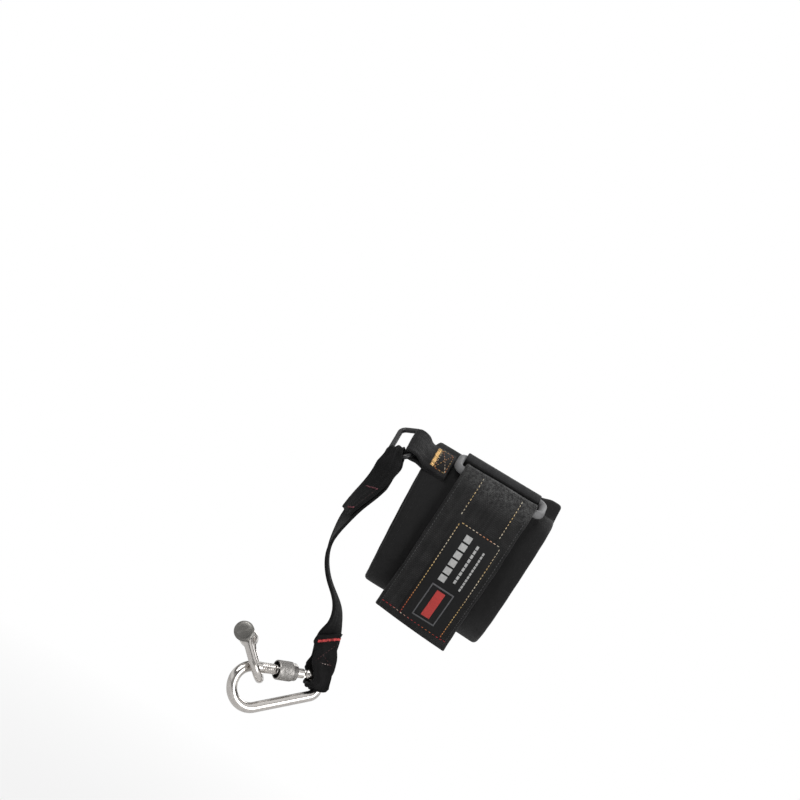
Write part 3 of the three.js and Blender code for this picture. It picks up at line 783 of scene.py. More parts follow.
@dataclass(frozen=True)
class Finish:
    """A named material; each kind of finish works out what its shader is fed."""

    name: str

    def look(self, g: Graph, fx: Effects) -> dict[str, object]:
        """Values or sockets for the shader's inputs."""
        return {}

    def build(self, fx: Effects) -> bpy.types.Material:
        """The material, with its look fed to its Principled shader.

        Args:
            fx: The shared shader groups.

        Returns:
            The material.
        """
        material, g, out = shader(self.name)
        for key, value in self.look(g, fx).items():
            g.feed(out.inputs[key], value)
        return material


@dataclass(frozen=True)
class Webbing(Finish):
    """Woven nylon strap: rows of yarn floats, worn lighter on the highs, with clinging lint."""

    dark: Colour
    light: Colour
    row: float = 0.9
    column: float = 1.15
    depth: float = 0.22
    lint: float = 0.05
    gloss: float = 0.2

    def look(self, g: Graph, fx: Effects) -> dict[str, object]:
        """Colour from the weave's height and wear, roughness from the yarn, bump from weave and hairs.

        Args:
            g: A Graph on the material's tree.
            fx: The shared shader groups.

        Returns:
            Values or sockets for the shader's inputs.
        """
        place = g.place()
        weave = g.group(fx.weave, Run=g.run(), Row=self.row, Column=self.column)
        fibre = g.group(fx.fibres, Place=place, Hair=3.2, Clump=0.16)
        worn = g.between(fibre.outputs["Clump"], 0.42, 0.72, 0.0, 0.75)
        share = g.times(weave.outputs["Height"], g.math("ADD", worn, 0.25))
        tint = g.tint()
        # The piece's tint multiplies the colour: painted shade on the anchor loop, and paler worn pile at the outer
        # layer's fold.
        base = g.mix(1.0, g.mix(share, rgb(*self.dark), rgb(*self.light)), tint, "MULTIPLY")
        fuzz = g.times(g.between(g.node("ShaderNodeSeparateColor", {0: tint}).outputs[0], 1.0, 2.0, 0.0, 1.0),
                       g.between(g.noise(place, 0.8, 5.0, 0.72), 0.42, 0.62, 0.0, 1.0))
        base = g.mix(fuzz, base, rgb(0.078, 0.078, 0.077))
        specks = g.group(fx.lint, Place=place, Amount=self.lint)
        base = g.mix(g.times(specks.outputs["Mask"], 0.6), base, rgb(0.2, 0.19, 0.18))
        height = g.math("MULTIPLY_ADD", fibre.outputs["Height"], 0.45, weave.outputs["Height"])
        return {
            "Base Color": base,
            "Roughness": g.between(weave.outputs["Yarn"], 0.0, 1.0, 0.62, 0.8),
            "Normal": g.bump(height, 0.9, self.depth),
            "Specular IOR Level": self.gloss,
            "Sheen Weight": self.gloss / 4,
            "Sheen Roughness": 0.5,
        }


@dataclass(frozen=True)
class Brushed(Finish):
    """Brushed loop cloth or knit lining: soft black pile with clumps and lint."""

    dark: Colour
    light: Colour
    hair: float = 5.0
    depth: float = 0.3
    sheen: float = 0.08
    lint: float = 0.05

    def look(self, g: Graph, fx: Effects) -> dict[str, object]:
        """Colour from clumps and hairs, a strong fine bump and a soft sheen.

        Args:
            g: A Graph on the material's tree.
            fx: The shared shader groups.

        Returns:
            Values or sockets for the shader's inputs.
        """
        place = g.place()
        fibre = g.group(fx.fibres, Place=place, Hair=self.hair, Clump=0.22)
        tone = g.between(fibre.outputs["Height"], 0.3, 0.7, 0.0, 1.0)
        base = g.mix(tone, rgb(*self.dark), rgb(*self.light))
        base = g.tinted(base)
        specks = g.group(fx.lint, Place=place, Amount=self.lint)
        base = g.mix(g.times(specks.outputs["Mask"], 0.5), base, rgb(0.16, 0.155, 0.15))
        return {
            "Base Color": base,
            "Roughness": g.between(fibre.outputs["Clump"], 0.3, 0.7, 0.9, 1.0),
            "Normal": g.bump(fibre.outputs["Height"], 0.8, self.depth),
            "Specular IOR Level": 0.2,
            "Sheen Weight": self.sheen,
            "Sheen Roughness": 0.6,
        }


@dataclass(frozen=True)
class FineCloth(Finish):
    """Smooth fine cloth, such as a woven label: close tiny weave with a slight gloss."""

    colour: Colour
    pitch: float = 0.35

    def look(self, g: Graph, fx: Effects) -> dict[str, object]:
        """Tint times colour, with a very fine weave in colour and bump.

        Args:
            g: A Graph on the material's tree.
            fx: The shared shader groups.

        Returns:
            Values or sockets for the shader's inputs.
        """
        weave = g.group(fx.weave, Run=g.run(), Row=self.pitch, Column=self.pitch * 1.4)
        soft = g.noise(g.place(), 0.35, 3.0)
        tone = g.times(g.between(weave.outputs["Height"], 0.0, 1.0, 0.75, 1.15),
                       g.between(soft, 0.3, 0.7, 0.8, 1.2))
        return {
            "Base Color": g.tinted(g.toned(self.colour, tone)),
            "Roughness": g.between(soft, 0.3, 0.7, 0.5, 0.64),
            "Normal": g.bump(weave.outputs["Height"], 0.6, 0.06),
            "Specular IOR Level": 0.22,
        }


@dataclass(frozen=True)
class Thread(Finish):
    """Sewing thread: twisted plies, with its colour from each stitch's tint."""

    colour: Colour

    def look(self, g: Graph, fx: Effects) -> dict[str, object]:
        """Slanted plies on the UV, uneven dye and a soft sheen.

        Args:
            g: A Graph on the material's tree.
            fx: The shared shader groups; not used.

        Returns:
            Values or sockets for the shader's inputs.
        """
        split = g.node("ShaderNodeSeparateXYZ", {0: g.run()})
        slant = g.math("MULTIPLY_ADD", split.outputs[1], 2.2, g.times(split.outputs[0], 2.2))
        ply = g.math("ABSOLUTE", g.math("SINE", g.times(slant, math.pi)))
        soft = g.noise(g.place(), 0.9, 3.0)
        tone = g.times(g.between(ply, 0.0, 1.0, 0.7, 1.1), g.between(soft, 0.3, 0.7, 0.85, 1.1))
        return {
            "Base Color": g.tinted(g.toned(self.colour, tone)),
            "Roughness": g.between(soft, 0.3, 0.7, 0.5, 0.7),
            "Normal": g.bump(ply, 0.7, 0.07),
            "Specular IOR Level": 0.25,
            "Sheen Weight": 0.04,
        }


@dataclass(frozen=True)
class Moulded(Finish):
    """Moulded plastic: fine grain, smudges, a few scratches and paler rubbed edges."""

    colour: Colour
    rubbed: Colour
    rough: float = 0.45
    grain: float = 0.05

    def look(self, g: Graph, fx: Effects) -> dict[str, object]:
        """Worn edges and scratches lighten the colour; grain makes the bump.

        Args:
            g: A Graph on the material's tree.
            fx: The shared shader groups.

        Returns:
            Values or sockets for the shader's inputs.
        """
        place = g.place()
        wear = g.group(fx.handled, Place=place, Scale=1.0)
        marks = g.math("MAXIMUM", g.times(wear.outputs["Edge"], 0.55), g.times(wear.outputs["Scratch"], 0.3))
        tone = g.between(wear.outputs["Smudge"], 0.3, 0.7, 0.88, 1.1)
        rough = g.between(wear.outputs["Smudge"], 0.3, 0.7, self.rough - 0.07, self.rough + 0.1)
        return {
            "Base Color": g.mix(marks, g.toned(self.colour, tone), rgb(*self.rubbed)),
            "Roughness": g.math("MULTIPLY_ADD", marks, 0.2, rough),
            "Normal": g.bump(g.noise(place, 4.5, 3.0), 0.5, self.grain),
        }


@dataclass(frozen=True)
class Steel(Finish):
    """Stainless steel: draw lines, faint scratches and smudged gloss."""

    colour: Colour
    rough: float
    lines: float = 0.012
    dirt: float = 0.25

    def look(self, g: Graph, fx: Effects) -> dict[str, object]:
        """Roughness from smudges and scratches, darker dirt in soft patches, fine line bump.

        Args:
            g: A Graph on the material's tree.
            fx: The shared shader groups.

        Returns:
            Values or sockets for the shader's inputs.
        """
        place = g.place()
        wear = g.group(fx.handled, Place=place, Scale=1.3)
        dirty = g.times(g.between(wear.outputs["Smudge"], 0.45, 0.75, 0.0, 1.0), self.dirt)
        dull = rgb(*(0.45 * c for c in self.colour))
        base = g.mix(dirty, rgb(*self.colour), dull)
        worn = g.mix(wear.outputs["Edge"], base, rgb(*(min(1.0, 1.35 * c) for c in self.colour)))
        rough = g.between(wear.outputs["Smudge"], 0.3, 0.7, self.rough * 0.75, self.rough * 1.35)
        fine = g.noise(g.vector("MULTIPLY", place, (1.0, 5.0, 5.0)), 2.4, 4.0, 0.6)
        return {
            # The piece's tint multiplies the colour; on the sleeve it paints shade into the bore.
            "Base Color": g.tinted(worn),
            "Roughness": g.math("MULTIPLY_ADD", wear.outputs["Scratch"], 0.18, rough),
            "Normal": g.bump(fine, 0.5, self.lines),
            "Metallic": 1.0,
        }


@dataclass
class Wardrobe:
    """The part's finishes, each built once."""

    fx: Effects = field(default_factory=Effects)
    webbing: Webbing = Webbing("black_webbing", (0.0035, 0.0035, 0.0036), (0.026, 0.0255, 0.0255))
    narrow: Webbing = Webbing("narrow_webbing", (0.002, 0.002, 0.0021), (0.0135, 0.013, 0.0135),
                              row=0.8, column=0.9, depth=0.2, lint=0.03, gloss=0.12)
    side: Webbing = Webbing("side_webbing", (0.003, 0.003, 0.0032), (0.02, 0.0195, 0.02),
                            row=0.8, column=0.9, depth=0.2, lint=0.03)
    elastic: Webbing = Webbing("anchor_elastic", (0.02, 0.02, 0.021), (0.055, 0.055, 0.056),
                               row=0.7, column=0.8, depth=0.12, lint=0.02)
    pile: Brushed = Brushed("brushed_pile", (0.0035, 0.0035, 0.0037), (0.0125, 0.0123, 0.0125))
    knit: Brushed = Brushed("knit_lining", (0.008, 0.008, 0.009), (0.028, 0.028, 0.03),
                            hair=2.4, depth=0.35, sheen=0.1, lint=0.02)
    hooks: Brushed = Brushed("hook_tape", (0.005, 0.005, 0.005), (0.03, 0.03, 0.032),
                             hair=3.4, depth=0.5, sheen=0.02, lint=0.02)
    label: FineCloth = FineCloth("label_cloth", (0.0036, 0.0036, 0.0039))
    thread: Thread = Thread("sewing_thread", (1.0, 1.0, 1.0))
    grey: Moulded = Moulded("grey_plastic", (0.16, 0.16, 0.162), (0.24, 0.24, 0.245), rough=0.58, grain=0.035)
    black: Moulded = Moulded("black_plastic", (0.006, 0.006, 0.0065), (0.03, 0.03, 0.031), rough=0.3, grain=0.02)
    polished: Steel = Steel("polished_steel", (0.56, 0.535, 0.51), rough=0.15)
    satin: Steel = Steel("satin_steel", (0.32, 0.308, 0.295), rough=0.38, lines=0.03, dirt=0.35)
    oxide: Steel = Steel("dark_steel", (0.17, 0.165, 0.155), rough=0.36, lines=0.03, dirt=0.5)
    made: dict[str, bpy.types.Material] = field(default_factory=dict)

    def get(self, choice: str) -> bpy.types.Material:
        """The material of one of the finishes above, built the first time it is asked for."""
        if choice not in self.made:
            self.made[choice] = getattr(self, choice).build(self.fx)
        return self.made[choice]


# ---------------------------------------------------------------- studio


@dataclass
class Studio:
    """Pale floor, soft lamps and the camera at the photograph's angle."""

    centre: tuple[float, float, float] = (-0.0588, -0.025, 0.0425)
    roll_deg: float = 31.0
    distance: float = 1.5
    across: float = 0.368
    floor_z: float = -0.24
    aim: tuple[float, float, float] = (-0.02, 0.0, -0.03)

    def camera(self) -> None:
        """A long lens that looks along +Y, rolled so that the forearm slopes down to the right."""
        data = bpy.data.cameras.new("camera")
        data.sensor_width = 36.0
        data.lens = data.sensor_width * self.distance / self.across
        data.clip_start, data.clip_end = 0.05, 20.0
        camera = placed("camera", data)
        x, y, z = self.centre
        camera.location = (x, y - self.distance, z)
        camera.rotation_mode = "XYZ"
        right = np.array([math.cos(math.radians(self.roll_deg)), 0.0, math.sin(math.radians(self.roll_deg))])
        back = np.array([0.0, -1.0, 0.0])
        up = np.cross(back, right)
        turn = np.eye(4)
        turn[:3, 0], turn[:3, 1], turn[:3, 2] = right, up, back
        turn[:3, 3] = camera.location
        camera.matrix_world = Matrix(turn.tolist())
        bpy.context.scene.camera = camera

    def lamp(self, name: str, place: tuple, size: float, watts: float) -> None:
        """A soft square lamp at a place, turned to the part.

        Args:
            name: The lamp's name.
            place: Where it stands, in metres.
            size: Its side.
            watts: Its power.
        """
        data = bpy.data.lights.new(name, "AREA")
        data.shape, data.size, data.energy = "SQUARE", size, watts
        lamp = placed(name, data)
        lamp.location = place
        lamp.rotation_euler = (Vector(place) - Vector(self.aim)).to_track_quat("Z", "Y").to_euler()

    def white_where_seen(self, graph: Graph, plain: Socket, share: Socket) -> Socket:
        """A shader that is white to the camera, in gloss and through glass, and plain to other light.

        Args:
            graph: The tree to build in.
            plain: The shader that other light meets.
            share: How much of the white is mixed in where it is seen.

        Returns:
            The mixed shader's socket.
        """
        path = graph.node("ShaderNodeLightPath").outputs
        glossy = graph.times(path["Is Glossy Ray"], 0.25)
        seen = graph.math("MAXIMUM", path["Is Camera Ray"], graph.math("MAXIMUM", glossy, path["Is Transmission Ray"]))
        white = graph.node("ShaderNodeEmission", {"Color": rgb(1.0, 1.0, 1.0), "Strength": 1.0}).outputs[0]
        mixed = graph.node("ShaderNodeMixShader", {0: graph.times(seen, share), 1: plain, 2: white})
        return mixed.outputs[0]

    def floor(self) -> None:
        """A wide pale floor that keeps a faint shadow."""
        ring = np.array([[-3.0, -3.0], [3.0, -3.0], [3.0, 3.0], [-3.0, 3.0]]) / MM
        mesh = bpy.data.meshes.new("floor")
        points = np.column_stack([ring, np.full(4, self.floor_z / MM)]) * MM
        mesh.from_pydata(points.tolist(), [], [(0, 1, 2, 3)])
        floor = placed("floor", mesh)
        material, graph, out = shader("floor_paper")
        place = graph.place()
        soft = graph.noise(place, 0.01, 2.0)
        out.inputs["Base Color"].default_value = rgb(0.84, 0.84, 0.84)
        graph.feed(out.inputs["Roughness"], graph.between(soft, 0.3, 0.7, 0.8, 0.95))
        sink = material.node_tree.nodes["Material Output"]
        away = graph.node("ShaderNodeVectorMath", {0: place}, operation="LENGTH").outputs[1]
        share = graph.between(away, 350.0, 900.0, 0.7, 1.0)
        graph.feed(sink.inputs["Surface"], self.white_where_seen(graph, out.outputs[0], share))
        mesh.materials.append(material)

    def world(self) -> None:
        """Soft light from all round, and a white background where it is seen."""
        world = bpy.data.worlds.new("soft_room")
        world.use_nodes = True
        graph = Graph(world.node_tree)
        sink = world.node_tree.nodes["World Output"]
        light = world.node_tree.nodes["Background"]
        light.inputs["Color"].default_value = rgb(1.0, 1.0, 1.0)
        path = graph.node("ShaderNodeLightPath").outputs
        seen = graph.math("MAXIMUM", path["Is Camera Ray"], path["Is Transmission Ray"])
        way = graph.node("ShaderNodeSeparateXYZ", {0: graph.node("ShaderNodeTexCoord").outputs[0]}).outputs
        height = way[2]
        flag = graph.math("ABSOLUTE", graph.math("SUBTRACT", height, 0.5))
        sky = graph.times(graph.between(height, -0.25, 0.1, 0.12, 0.95), graph.between(flag, 0.07, 0.2, 0.12, 1.0))
        sky = graph.times(sky, graph.between(way[1], -0.97, -0.86, 0.3, 1.0))
        plain = graph.node("ShaderNodeMix", {0: path["Is Glossy Ray"], 2: 0.3, 3: sky}, data_type="FLOAT").outputs[0]
        graph.feed(light.inputs["Strength"], graph.math("MAXIMUM", seen, plain))
        graph.feed(sink.inputs["Surface"], light.outputs[0])
        bpy.context.scene.world = world

    def build(self) -> None:
        """Sets up the camera, the floor, the world and three lamps."""
        self.camera()
        self.floor()
        self.world()
        self.lamp("key_lamp", (-0.55, -0.75, 0.85), 0.55, 6.6)
        self.lamp("fill_lamp", (0.85, -0.8, 0.15), 0.7, 6.8)
        self.lamp("back_lamp", (0.35, 0.9, 0.75), 0.6, 5.0)
        bpy.context.scene.view_settings.view_transform = "Standard"
        LOG.info("studio: camera %.2f m away, %.3f m across", self.distance, self.across)


# ---------------------------------------------------------------- stitches

GOLD = (0.62, 0.42, 0.17)
CREAM = (0.62, 0.56, 0.44)
ORANGE = (0.66, 0.2, 0.05)
RED = (0.42, 0.028, 0.03)
BLACK = (0.0045, 0.0045, 0.005)
GREY = (0.055, 0.055, 0.056)


@dataclass
class Needle:
    """Sews rows of stitches and bar tacks as small rounded threads that sink into the cloth."""

    thick: float = 0.37
    sink: float = 0.06

    def one(self, length: float, wide: float) -> Array:
        """One stitch along its own x: a capsule whose ends dive, radius wide / 2 * sqrt(1 - s^6).

        Args:
            length: From end to end.
            wide: Its thickness.

        Returns:
            A grid, (stations, points, 3).
        """
        s = np.array([-1.0, -0.88, -0.6, 0.0, 0.6, 0.88, 1.0])
        radius = wide / 2 * np.sqrt(np.maximum(1 - s**6, 0.06))
        turn = full_turn(8)
        x = np.broadcast_to((s * length / 2)[:, None], (7, 8))
        y = radius[:, None] * np.cos(turn)
        z = radius[:, None] * np.sin(turn) * 0.8 - 0.45 * wide * (s**4)[:, None]
        return np.stack([x, y, z], -1)

    def row(
        self,
        surface: Surface,
        line: Array,
        up: Array,
        pitch: float,
        share: float,
        colours: Sequence[tuple],
        wide: float | None,
        seed: int = 3,
    ) -> Surface:
        """A row of stitches along a line of points.

        Args:
            surface: Where the stitches are added.
            line: Points that the row follows, on the cloth's face.
            up: Direction out of the cloth at each point.
            pitch: Millimetres from stitch to stitch.
            share: Length of a stitch as a share of the pitch.
            colours: Colours along the row, blended evenly from first to last.
            wide: Thickness of the thread, or None for the needle's own.
            seed: Seed of the small unevenness.

        Returns:
            The surface.
        """
        wide = self.thick if wide is None else wide
        walked = run_lengths(line)
        count = max(1, int(walked[-1] / pitch))
        middle = (np.arange(count) + 0.5) * walked[-1] / count
        chance = np.random.default_rng(seed)
        half = share * pitch / 2
        first, last = (read_at(line, walked, middle + step) for step in (-half, half))
        out = unit(read_at(up, walked, middle))
        along = unit(last - first + chance.normal(0, 0.03, (count, 3)) * pitch)
        side = unit(np.cross(out, along))
        out = np.cross(along, side)
        place = (first + last) / 2 + out * (wide / 2 * 0.55 - self.sink)
        dye = read_at(np.array(colours, float), np.linspace(0, 1, len(colours)), np.linspace(0, 1, count))
        dye = dye * chance.uniform(0.72, 1.2, (count, 1))
        return surface.copies(self.one(share * pitch, wide), place, np.stack([along, side, out], 1), dye)

    def tack(self, surface: Surface, line: Array, up: Array, cross: Array, wide: float, colour: tuple,
             seed: int = 5, pitch: float = 0.34) -> Surface:
        """A bar tack: short threads laid across a line, side by side, a little uneven, over a core.

        Args:
            surface: Where the threads are added.
            line: Points that the bar follows.
            up: Direction out of the cloth at each point.
            cross: Direction across the bar.
            wide: How wide the bar is.
            colour: The thread's colour.
            seed: Seed of the unevenness.
            pitch: Millimetres from thread to thread.

        Returns:
            The surface.
        """
        walked = run_lengths(line)
        count = int(walked[-1] / pitch)
        at = np.linspace(0.15, walked[-1] - 0.15, count)
        chance = np.random.default_rng(seed)
        middle = read_at(line, walked, at)
        out = unit(read_at(up, walked, at))
        lean = unit(np.gradient(middle, axis=0))
        along = unit(np.asarray(cross) + lean * chance.normal(0, 0.16, (count, 1)) + lean * 0.12)
        side = unit(np.cross(out, along))
        out = np.cross(along, side)
        place = middle + out * chance.uniform(0.1, 0.24, (count, 1)) + along * chance.normal(0, 0.16, (count, 1))
        dye = np.asarray(colour) * chance.uniform(0.4, 1.35, (count, 1))
        return surface.copies(self.one(wide * 1.06, 0.44), place, np.stack([along, side, out], 1), dye)


# ---------------------------------------------------------------- pieces and assemblies


@dataclass(frozen=True)
class Piece:
    """How a piece is made and finished; a piece with no body rides on none, and its assembly's bind hook is called on
    it.
    """

    method: str
    finish: str
    slot: str
    body: str | None
    nodes: tuple[str, ...] = ()
    args: tuple = ()


@dataclass
class Maker:
    """Gives each new piece its finish and its body, hides the CAD nodes that it stands in for, and logs it."""

    wardrobe: Wardrobe

    def dress(self, piece: bpy.types.Object, plan: Piece) -> bpy.types.Object:
        """Finishes one piece.

        Args:
            piece: The object, in place.
            plan: Its finish, slot, body and nodes.

        Returns:
            The same object.
        """
        piece.data.materials.clear()
        piece.data.materials.append(self.wardrobe.get(plan.finish))
        if plan.body is not None:
            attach(piece, plan.body)
        if plan.nodes:
            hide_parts(*plan.nodes)
        LOG.info("%s: %d faces, finish %s, body %s", piece.name, len(piece.data.polygons), plan.finish, plan.body)
        return piece


class Assembly:
    """A sub-assembly, whose PLAN lists its pieces in the order of their making."""

    PLAN: tuple[Piece, ...] = ()
    needle = Needle()

    def bind(self, piece: bpy.types.Object) -> None:
        """A hook for a piece that rides on no body; here it does nothing."""

    def build(self, maker: Maker) -> list[bpy.types.Object]:
        """Makes and dresses the pieces.

        Args:
            maker: Finishes the pieces.

        Returns:
            The pieces, in the plan's order.
        """
        pieces = []
        for plan in self.PLAN:
            pieces.append(maker.dress(getattr(self, plan.method)(*plan.args), plan))
            if plan.body is None:
                self.bind(pieces[-1])
        return pieces


# ---------------------------------------------------------------- lanyard

LANYARD_ROUTE = np.array([
    [-46.6, -24.2, 15.4], [-46.9, -26.0, 9.0], [-48.2, -26.2, 1.0], [-50.6, -25.6, -8.0],
    [-52.2, -24.8, -17.0], [-52.6, -24.2, -25.0], [-51.6, -23.6, -33.0], [-48.4, -23.0, -39.8],
    [-43.7, -22.4, -45.4], [-38.2, -21.9, -50.2], [-33.5, -21.4, -55.8], [-31.2, -21.0, -62.1],
    [-30.4, -20.8, -68.1], [-29.3, -21.1, -73.4],
])
LANYARD_ACROSS = np.array([
    [-0.87, 0.36, -0.33], [-0.79, 0.58, -0.2], [-0.66, 0.75, 0.0], [-0.5, 0.87, 0.0],
    [-0.35, 0.93, 0.0], [-0.15, 0.98, 0.0], [0.0, 1.0, 0.0], [0.05, 1.0, 0.0],
    [0.08, 1.0, 0.0], [0.15, 0.98, 0.0], [0.32, 0.93, 0.0], [0.54, 0.84, -0.1],
    [0.82, 0.5, -0.25], [0.86, 0.36, -0.35],
])


@dataclass
class HangingFrame:
    """Directions of the carabiner, from its turn and tilt, and the places that hang from it."""

    place: Array = field(default_factory=lambda: np.array([-27.6, -26.0, -91.8]))
    yaw_deg: float = 28.0
    tilt_deg: float = 29.8
    loop_tilt_deg: float = 50.0

    def __post_init__(self) -> None:
        """Works out the carabiner's long, up and face directions and the lower loop's way down."""
        yaw, tilt, loop = (math.radians(a) for a in (self.yaw_deg, self.tilt_deg, self.loop_tilt_deg))
        level = math.cos(yaw)
        self.long = np.array([level * math.cos(tilt), math.sin(yaw), level * math.sin(tilt)])
        rise = np.array([-math.sin(tilt), 0.0, math.cos(tilt)])
        self.face = unit(np.cross(self.long, rise))
        self.up = unit(np.cross(self.face, self.long))
        self.down = -math.cos(loop) * self.long - math.sin(loop) * self.up

    def world(self, points: Array) -> Array:
        """Points in the carabiner's own directions (long, up, face) as places in the part's frame."""
        return self.place + np.asarray(points, float) @ np.stack([self.long, self.up, self.face])


@dataclass(frozen=True)
class BarTack:
    """A bar tack across the lanyard at a height; side 1 or -1 is its face, and slant is mm along for each across."""

    name: str
    height: float
    side: int
    colour: Colour
    shift: float
    wide: float
    pitch: float
    trim: float
    slant: float


@dataclass
class Lanyard(Assembly):
    """Flat webbing from the small ring to the carabiner, with a sewn loop at each end."""

    PLAN = (
        Piece("strap", "narrow", "webbing", "lanyard", ("lanyard_strap",)),
        Piece("loop", "narrow", "webbing", "lanyard", ("lanyard_upper_loop",), ("lanyard_ring_loop", True)),
        Piece("loop", "narrow", "webbing", "lanyard", ("lanyard_lower_loop",), ("lanyard_hook_loop", False)),
        Piece("tack", "thread", "red_thread", "lanyard", ("lanyard_tack_1",),
              (BarTack("ring_loop_tack", 0.6, -1, (0.2, 0.07, 0.085), shift=-1.7, wide=0.7, pitch=0.62, trim=2.7,
                       slant=-0.42),)),
        Piece("tack", "thread", "red_thread", "lanyard", ("lanyard_tack_2",),
              (BarTack("ring_loop_end_tack", -12.3, -1, (0.22, 0.06, 0.08), shift=-2.6, wide=0.8, pitch=0.62,
                       trim=3.7, slant=-0.42),)),
        Piece("tack", "thread", "red_thread", "lanyard", ("lanyard_tack_3",),
              (BarTack("hook_loop_tack", -68.7, 1, (0.6, 0.07, 0.07), shift=-1.2, wide=1.25, pitch=0.37, trim=0.9,
                       slant=0.4),)),
        Piece("seams", "thread", "red_thread", "lanyard"),
    )

    hang: HangingFrame
    side: "SideLoop"
    width: float = 12.7
    thick: float = 1.5
    upper_eye: float = 6.2
    lower_eye: float = 4.2
    upper_mouth: float = 8.2
    lower_mouth: float = 9.4
    upper_rise: float = 2.4
    lower_lean: float = 3.2
    tail_lean: float = 1.9
    under_lean: float = 2.0
    flap: float = 1.6
    slack: float = 0.5
    gap: float = 0.3
    droop: float = 0.85
    rod_wire: float = 5.0
    throat: float = 8.5
    upper_start: float = 4.4
    lower_end: float = -78.0
    upper_tail: float = -14.3
    lower_tail: float = -66.7
    widen_share: float = 0.25
    open_rate: float = 1.35
    slant: float = 0.4

    def __post_init__(self) -> None:
        """Works out the route from the ring's rail to the lower loop's eye, with its way across."""
        self.away = self.side.away
        self.rail_place = self.side.ring_centre + self.side.across * self.side.ring_length / 2 + self.away * self.droop
        self.eye_radius = self.rod_wire / 2 + self.slack + self.thick / 2
        self.low_eye = self.hang.place - self.hang.down * self.eye_radius
        low_across = unit(np.cross(self.hang.face, self.hang.down))
        throat = self.low_eye - self.hang.down * self.throat - 1.3 * low_across
        places = np.vstack([self.rail_place, LANYARD_ROUTE, throat, self.low_eye])
        widths = np.vstack([self.away, LANYARD_ACROSS, low_across, low_across])
        self.low_across = low_across
        self.route = Spline(np.hstack([places, widths]))
        fine = np.linspace(0, self.route.knots[-1], 2400)
        self.heights = (self.route.at(fine)[:, 2], fine)

    def at_height(self, z: float) -> float:
        """Where on the route a height lies; the route falls all the way."""
        return float(np.interp(-z, -self.heights[0], self.heights[1]))

    def stations(self, t: Array) -> tuple[Array, Array, Array, Array]:
        """Places, ways along, ways across and normals (along x across) at points of the route.

        Args:
            t: Lengths along the route.

        Returns:
            Four arrays, (n, 3).
        """
        data = self.route.at(t)
        ahead, behind = self.route.at(t + 0.05)[:, :3], self.route.at(t - 0.05)[:, :3]
        along = unit(ahead - behind)
        wide = square_to(data[:, 3:], along)
        return data[:, :3], along, wide, np.cross(along, wide)

    def strap(self) -> bpy.types.Object:
        """The free stretch: a flat woven band that twists once on its way down.

        Returns:
            The band; its centre line is kept as self.line.
        """
        start, end = self.at_height(self.upper_start), self.at_height(self.lower_end)
        place, _, wide, up = self.stations(np.linspace(start, end, 190))
        self.line = place
        share = np.linspace(0, 1, 190)
        cup = 0.5 * np.sin(np.pi * share) ** 0.6
        section = flat_section(self.width, self.thick, 26)
        shape = repeated(section, 190)
        shape[..., 1] -= cup[:, None] * ((section[:, 0] / (self.width / 2)) ** 2 - 0.4)
        return Surface().add(sweep(Rail(place, wide, up), shape)).make("lanyard_webbing")

    def loop(self, name: str, upper: bool) -> bpy.types.Object:
        """One end loop: a leg beside the strap's line, a turn round the bar and a tail that lies on it.

        A layer at share v of the leg stands off the line by radius * ease(v), or sooner by the lower
        loop's open rate, which leaves room for the hook's hinge. The width falls from the
        strap's own to the mouth's beside the bar, and to the eye's at the far side of the turn.

        Args:
            name: The piece's name.
            upper: The loop on the small ring, else the one on the carabiner.

        Returns:
            The loop.
        """
        if upper:
            eye, side = 0.0, -1
            join, tail = self.at_height(self.upper_start), self.at_height(self.upper_tail)
            radius, centre = self.side.ring_wire / 2 + self.slack + self.thick / 2, self.rail_place
            eye_width, mouth, rise, lean = self.upper_eye, self.upper_mouth, self.upper_rise, 0.0
            _, along, _, _ = self.stations(np.array([0.1]))
            out = -unit(along[0] - (along[0] @ self.away) * self.away)
            across, normal = self.away, np.cross(-out, self.away)
        else:
            eye, side = self.route.knots[-1], 1
            join, tail = self.at_height(self.lower_end), self.at_height(self.lower_tail)
            radius, centre = self.eye_radius, self.low_eye
            eye_width, mouth, rise, lean = self.lower_eye, self.lower_mouth, 0.0, self.lower_lean
            out, across, normal = self.hang.down, self.low_across, self.hang.face
        step = self.thick + 2 * self.gap
        v = np.linspace(0, 1, 36)
        place, _, wide, up = self.stations(np.clip(join + (eye - join) * v, 0.1, self.route.knots[-1] - 0.1))
        start = self.widen_share + (0.2 if upper else 0.0)
        spread = ease((v - start) / (1 - start))
        width = self.width + (mouth - self.width) * spread
        bump = lambda middle, spread_by: np.exp(-(((v - middle) / spread_by) ** 2)) * ease(8 * v)
        slide = 0.5 * bump(0.8, 0.35) if upper else lean * np.maximum(2 * v - 1, 0)
        under = slide + (self.under_lean * bump(0.42, 0.26) if upper else -1.2 * bump(0.74, 0.12))
        opening = ease(v if upper else self.open_rate * v)[:, None]
        leg = place - side * up * radius * opening + wide * under[:, None]
        back = place + side * up * (step + (radius - step) * opening) + wide * slide[:, None]
        turn = np.linspace(0, np.pi, 26)[1:-1]
        tight = ease(np.sin(turn) / 0.8)
        around = -side * np.cos(turn)[:, None] * normal + np.sin(turn)[:, None] * out
        flap = 0.0 if upper else self.flap * np.exp(-((turn - 2.7) / 0.4) ** 2)
        bend = centre + around * radius + np.outer(rise * np.sin(turn) + flap, out)
        bend = bend + np.outer((slide[-1]) * (1 - tight), across)
        tail_place, _, tail_wide, tail_up = self.stations(np.linspace(join, tail, 60)[1:])
        slip = 0.0 if upper else self.tail_lean * ease(np.linspace(0, 1.4, 59))[:, None]
        tail_place = tail_place + side * step * tail_up - slip * tail_wide
        places = np.vstack([leg, bend, back[::-1], tail_place])
        ups = np.vstack([-side * up, around, side * up[::-1], side * tail_up])
        acrosses = np.vstack([wide, np.tile(across, (len(turn), 1)), wide[::-1], tail_wide])
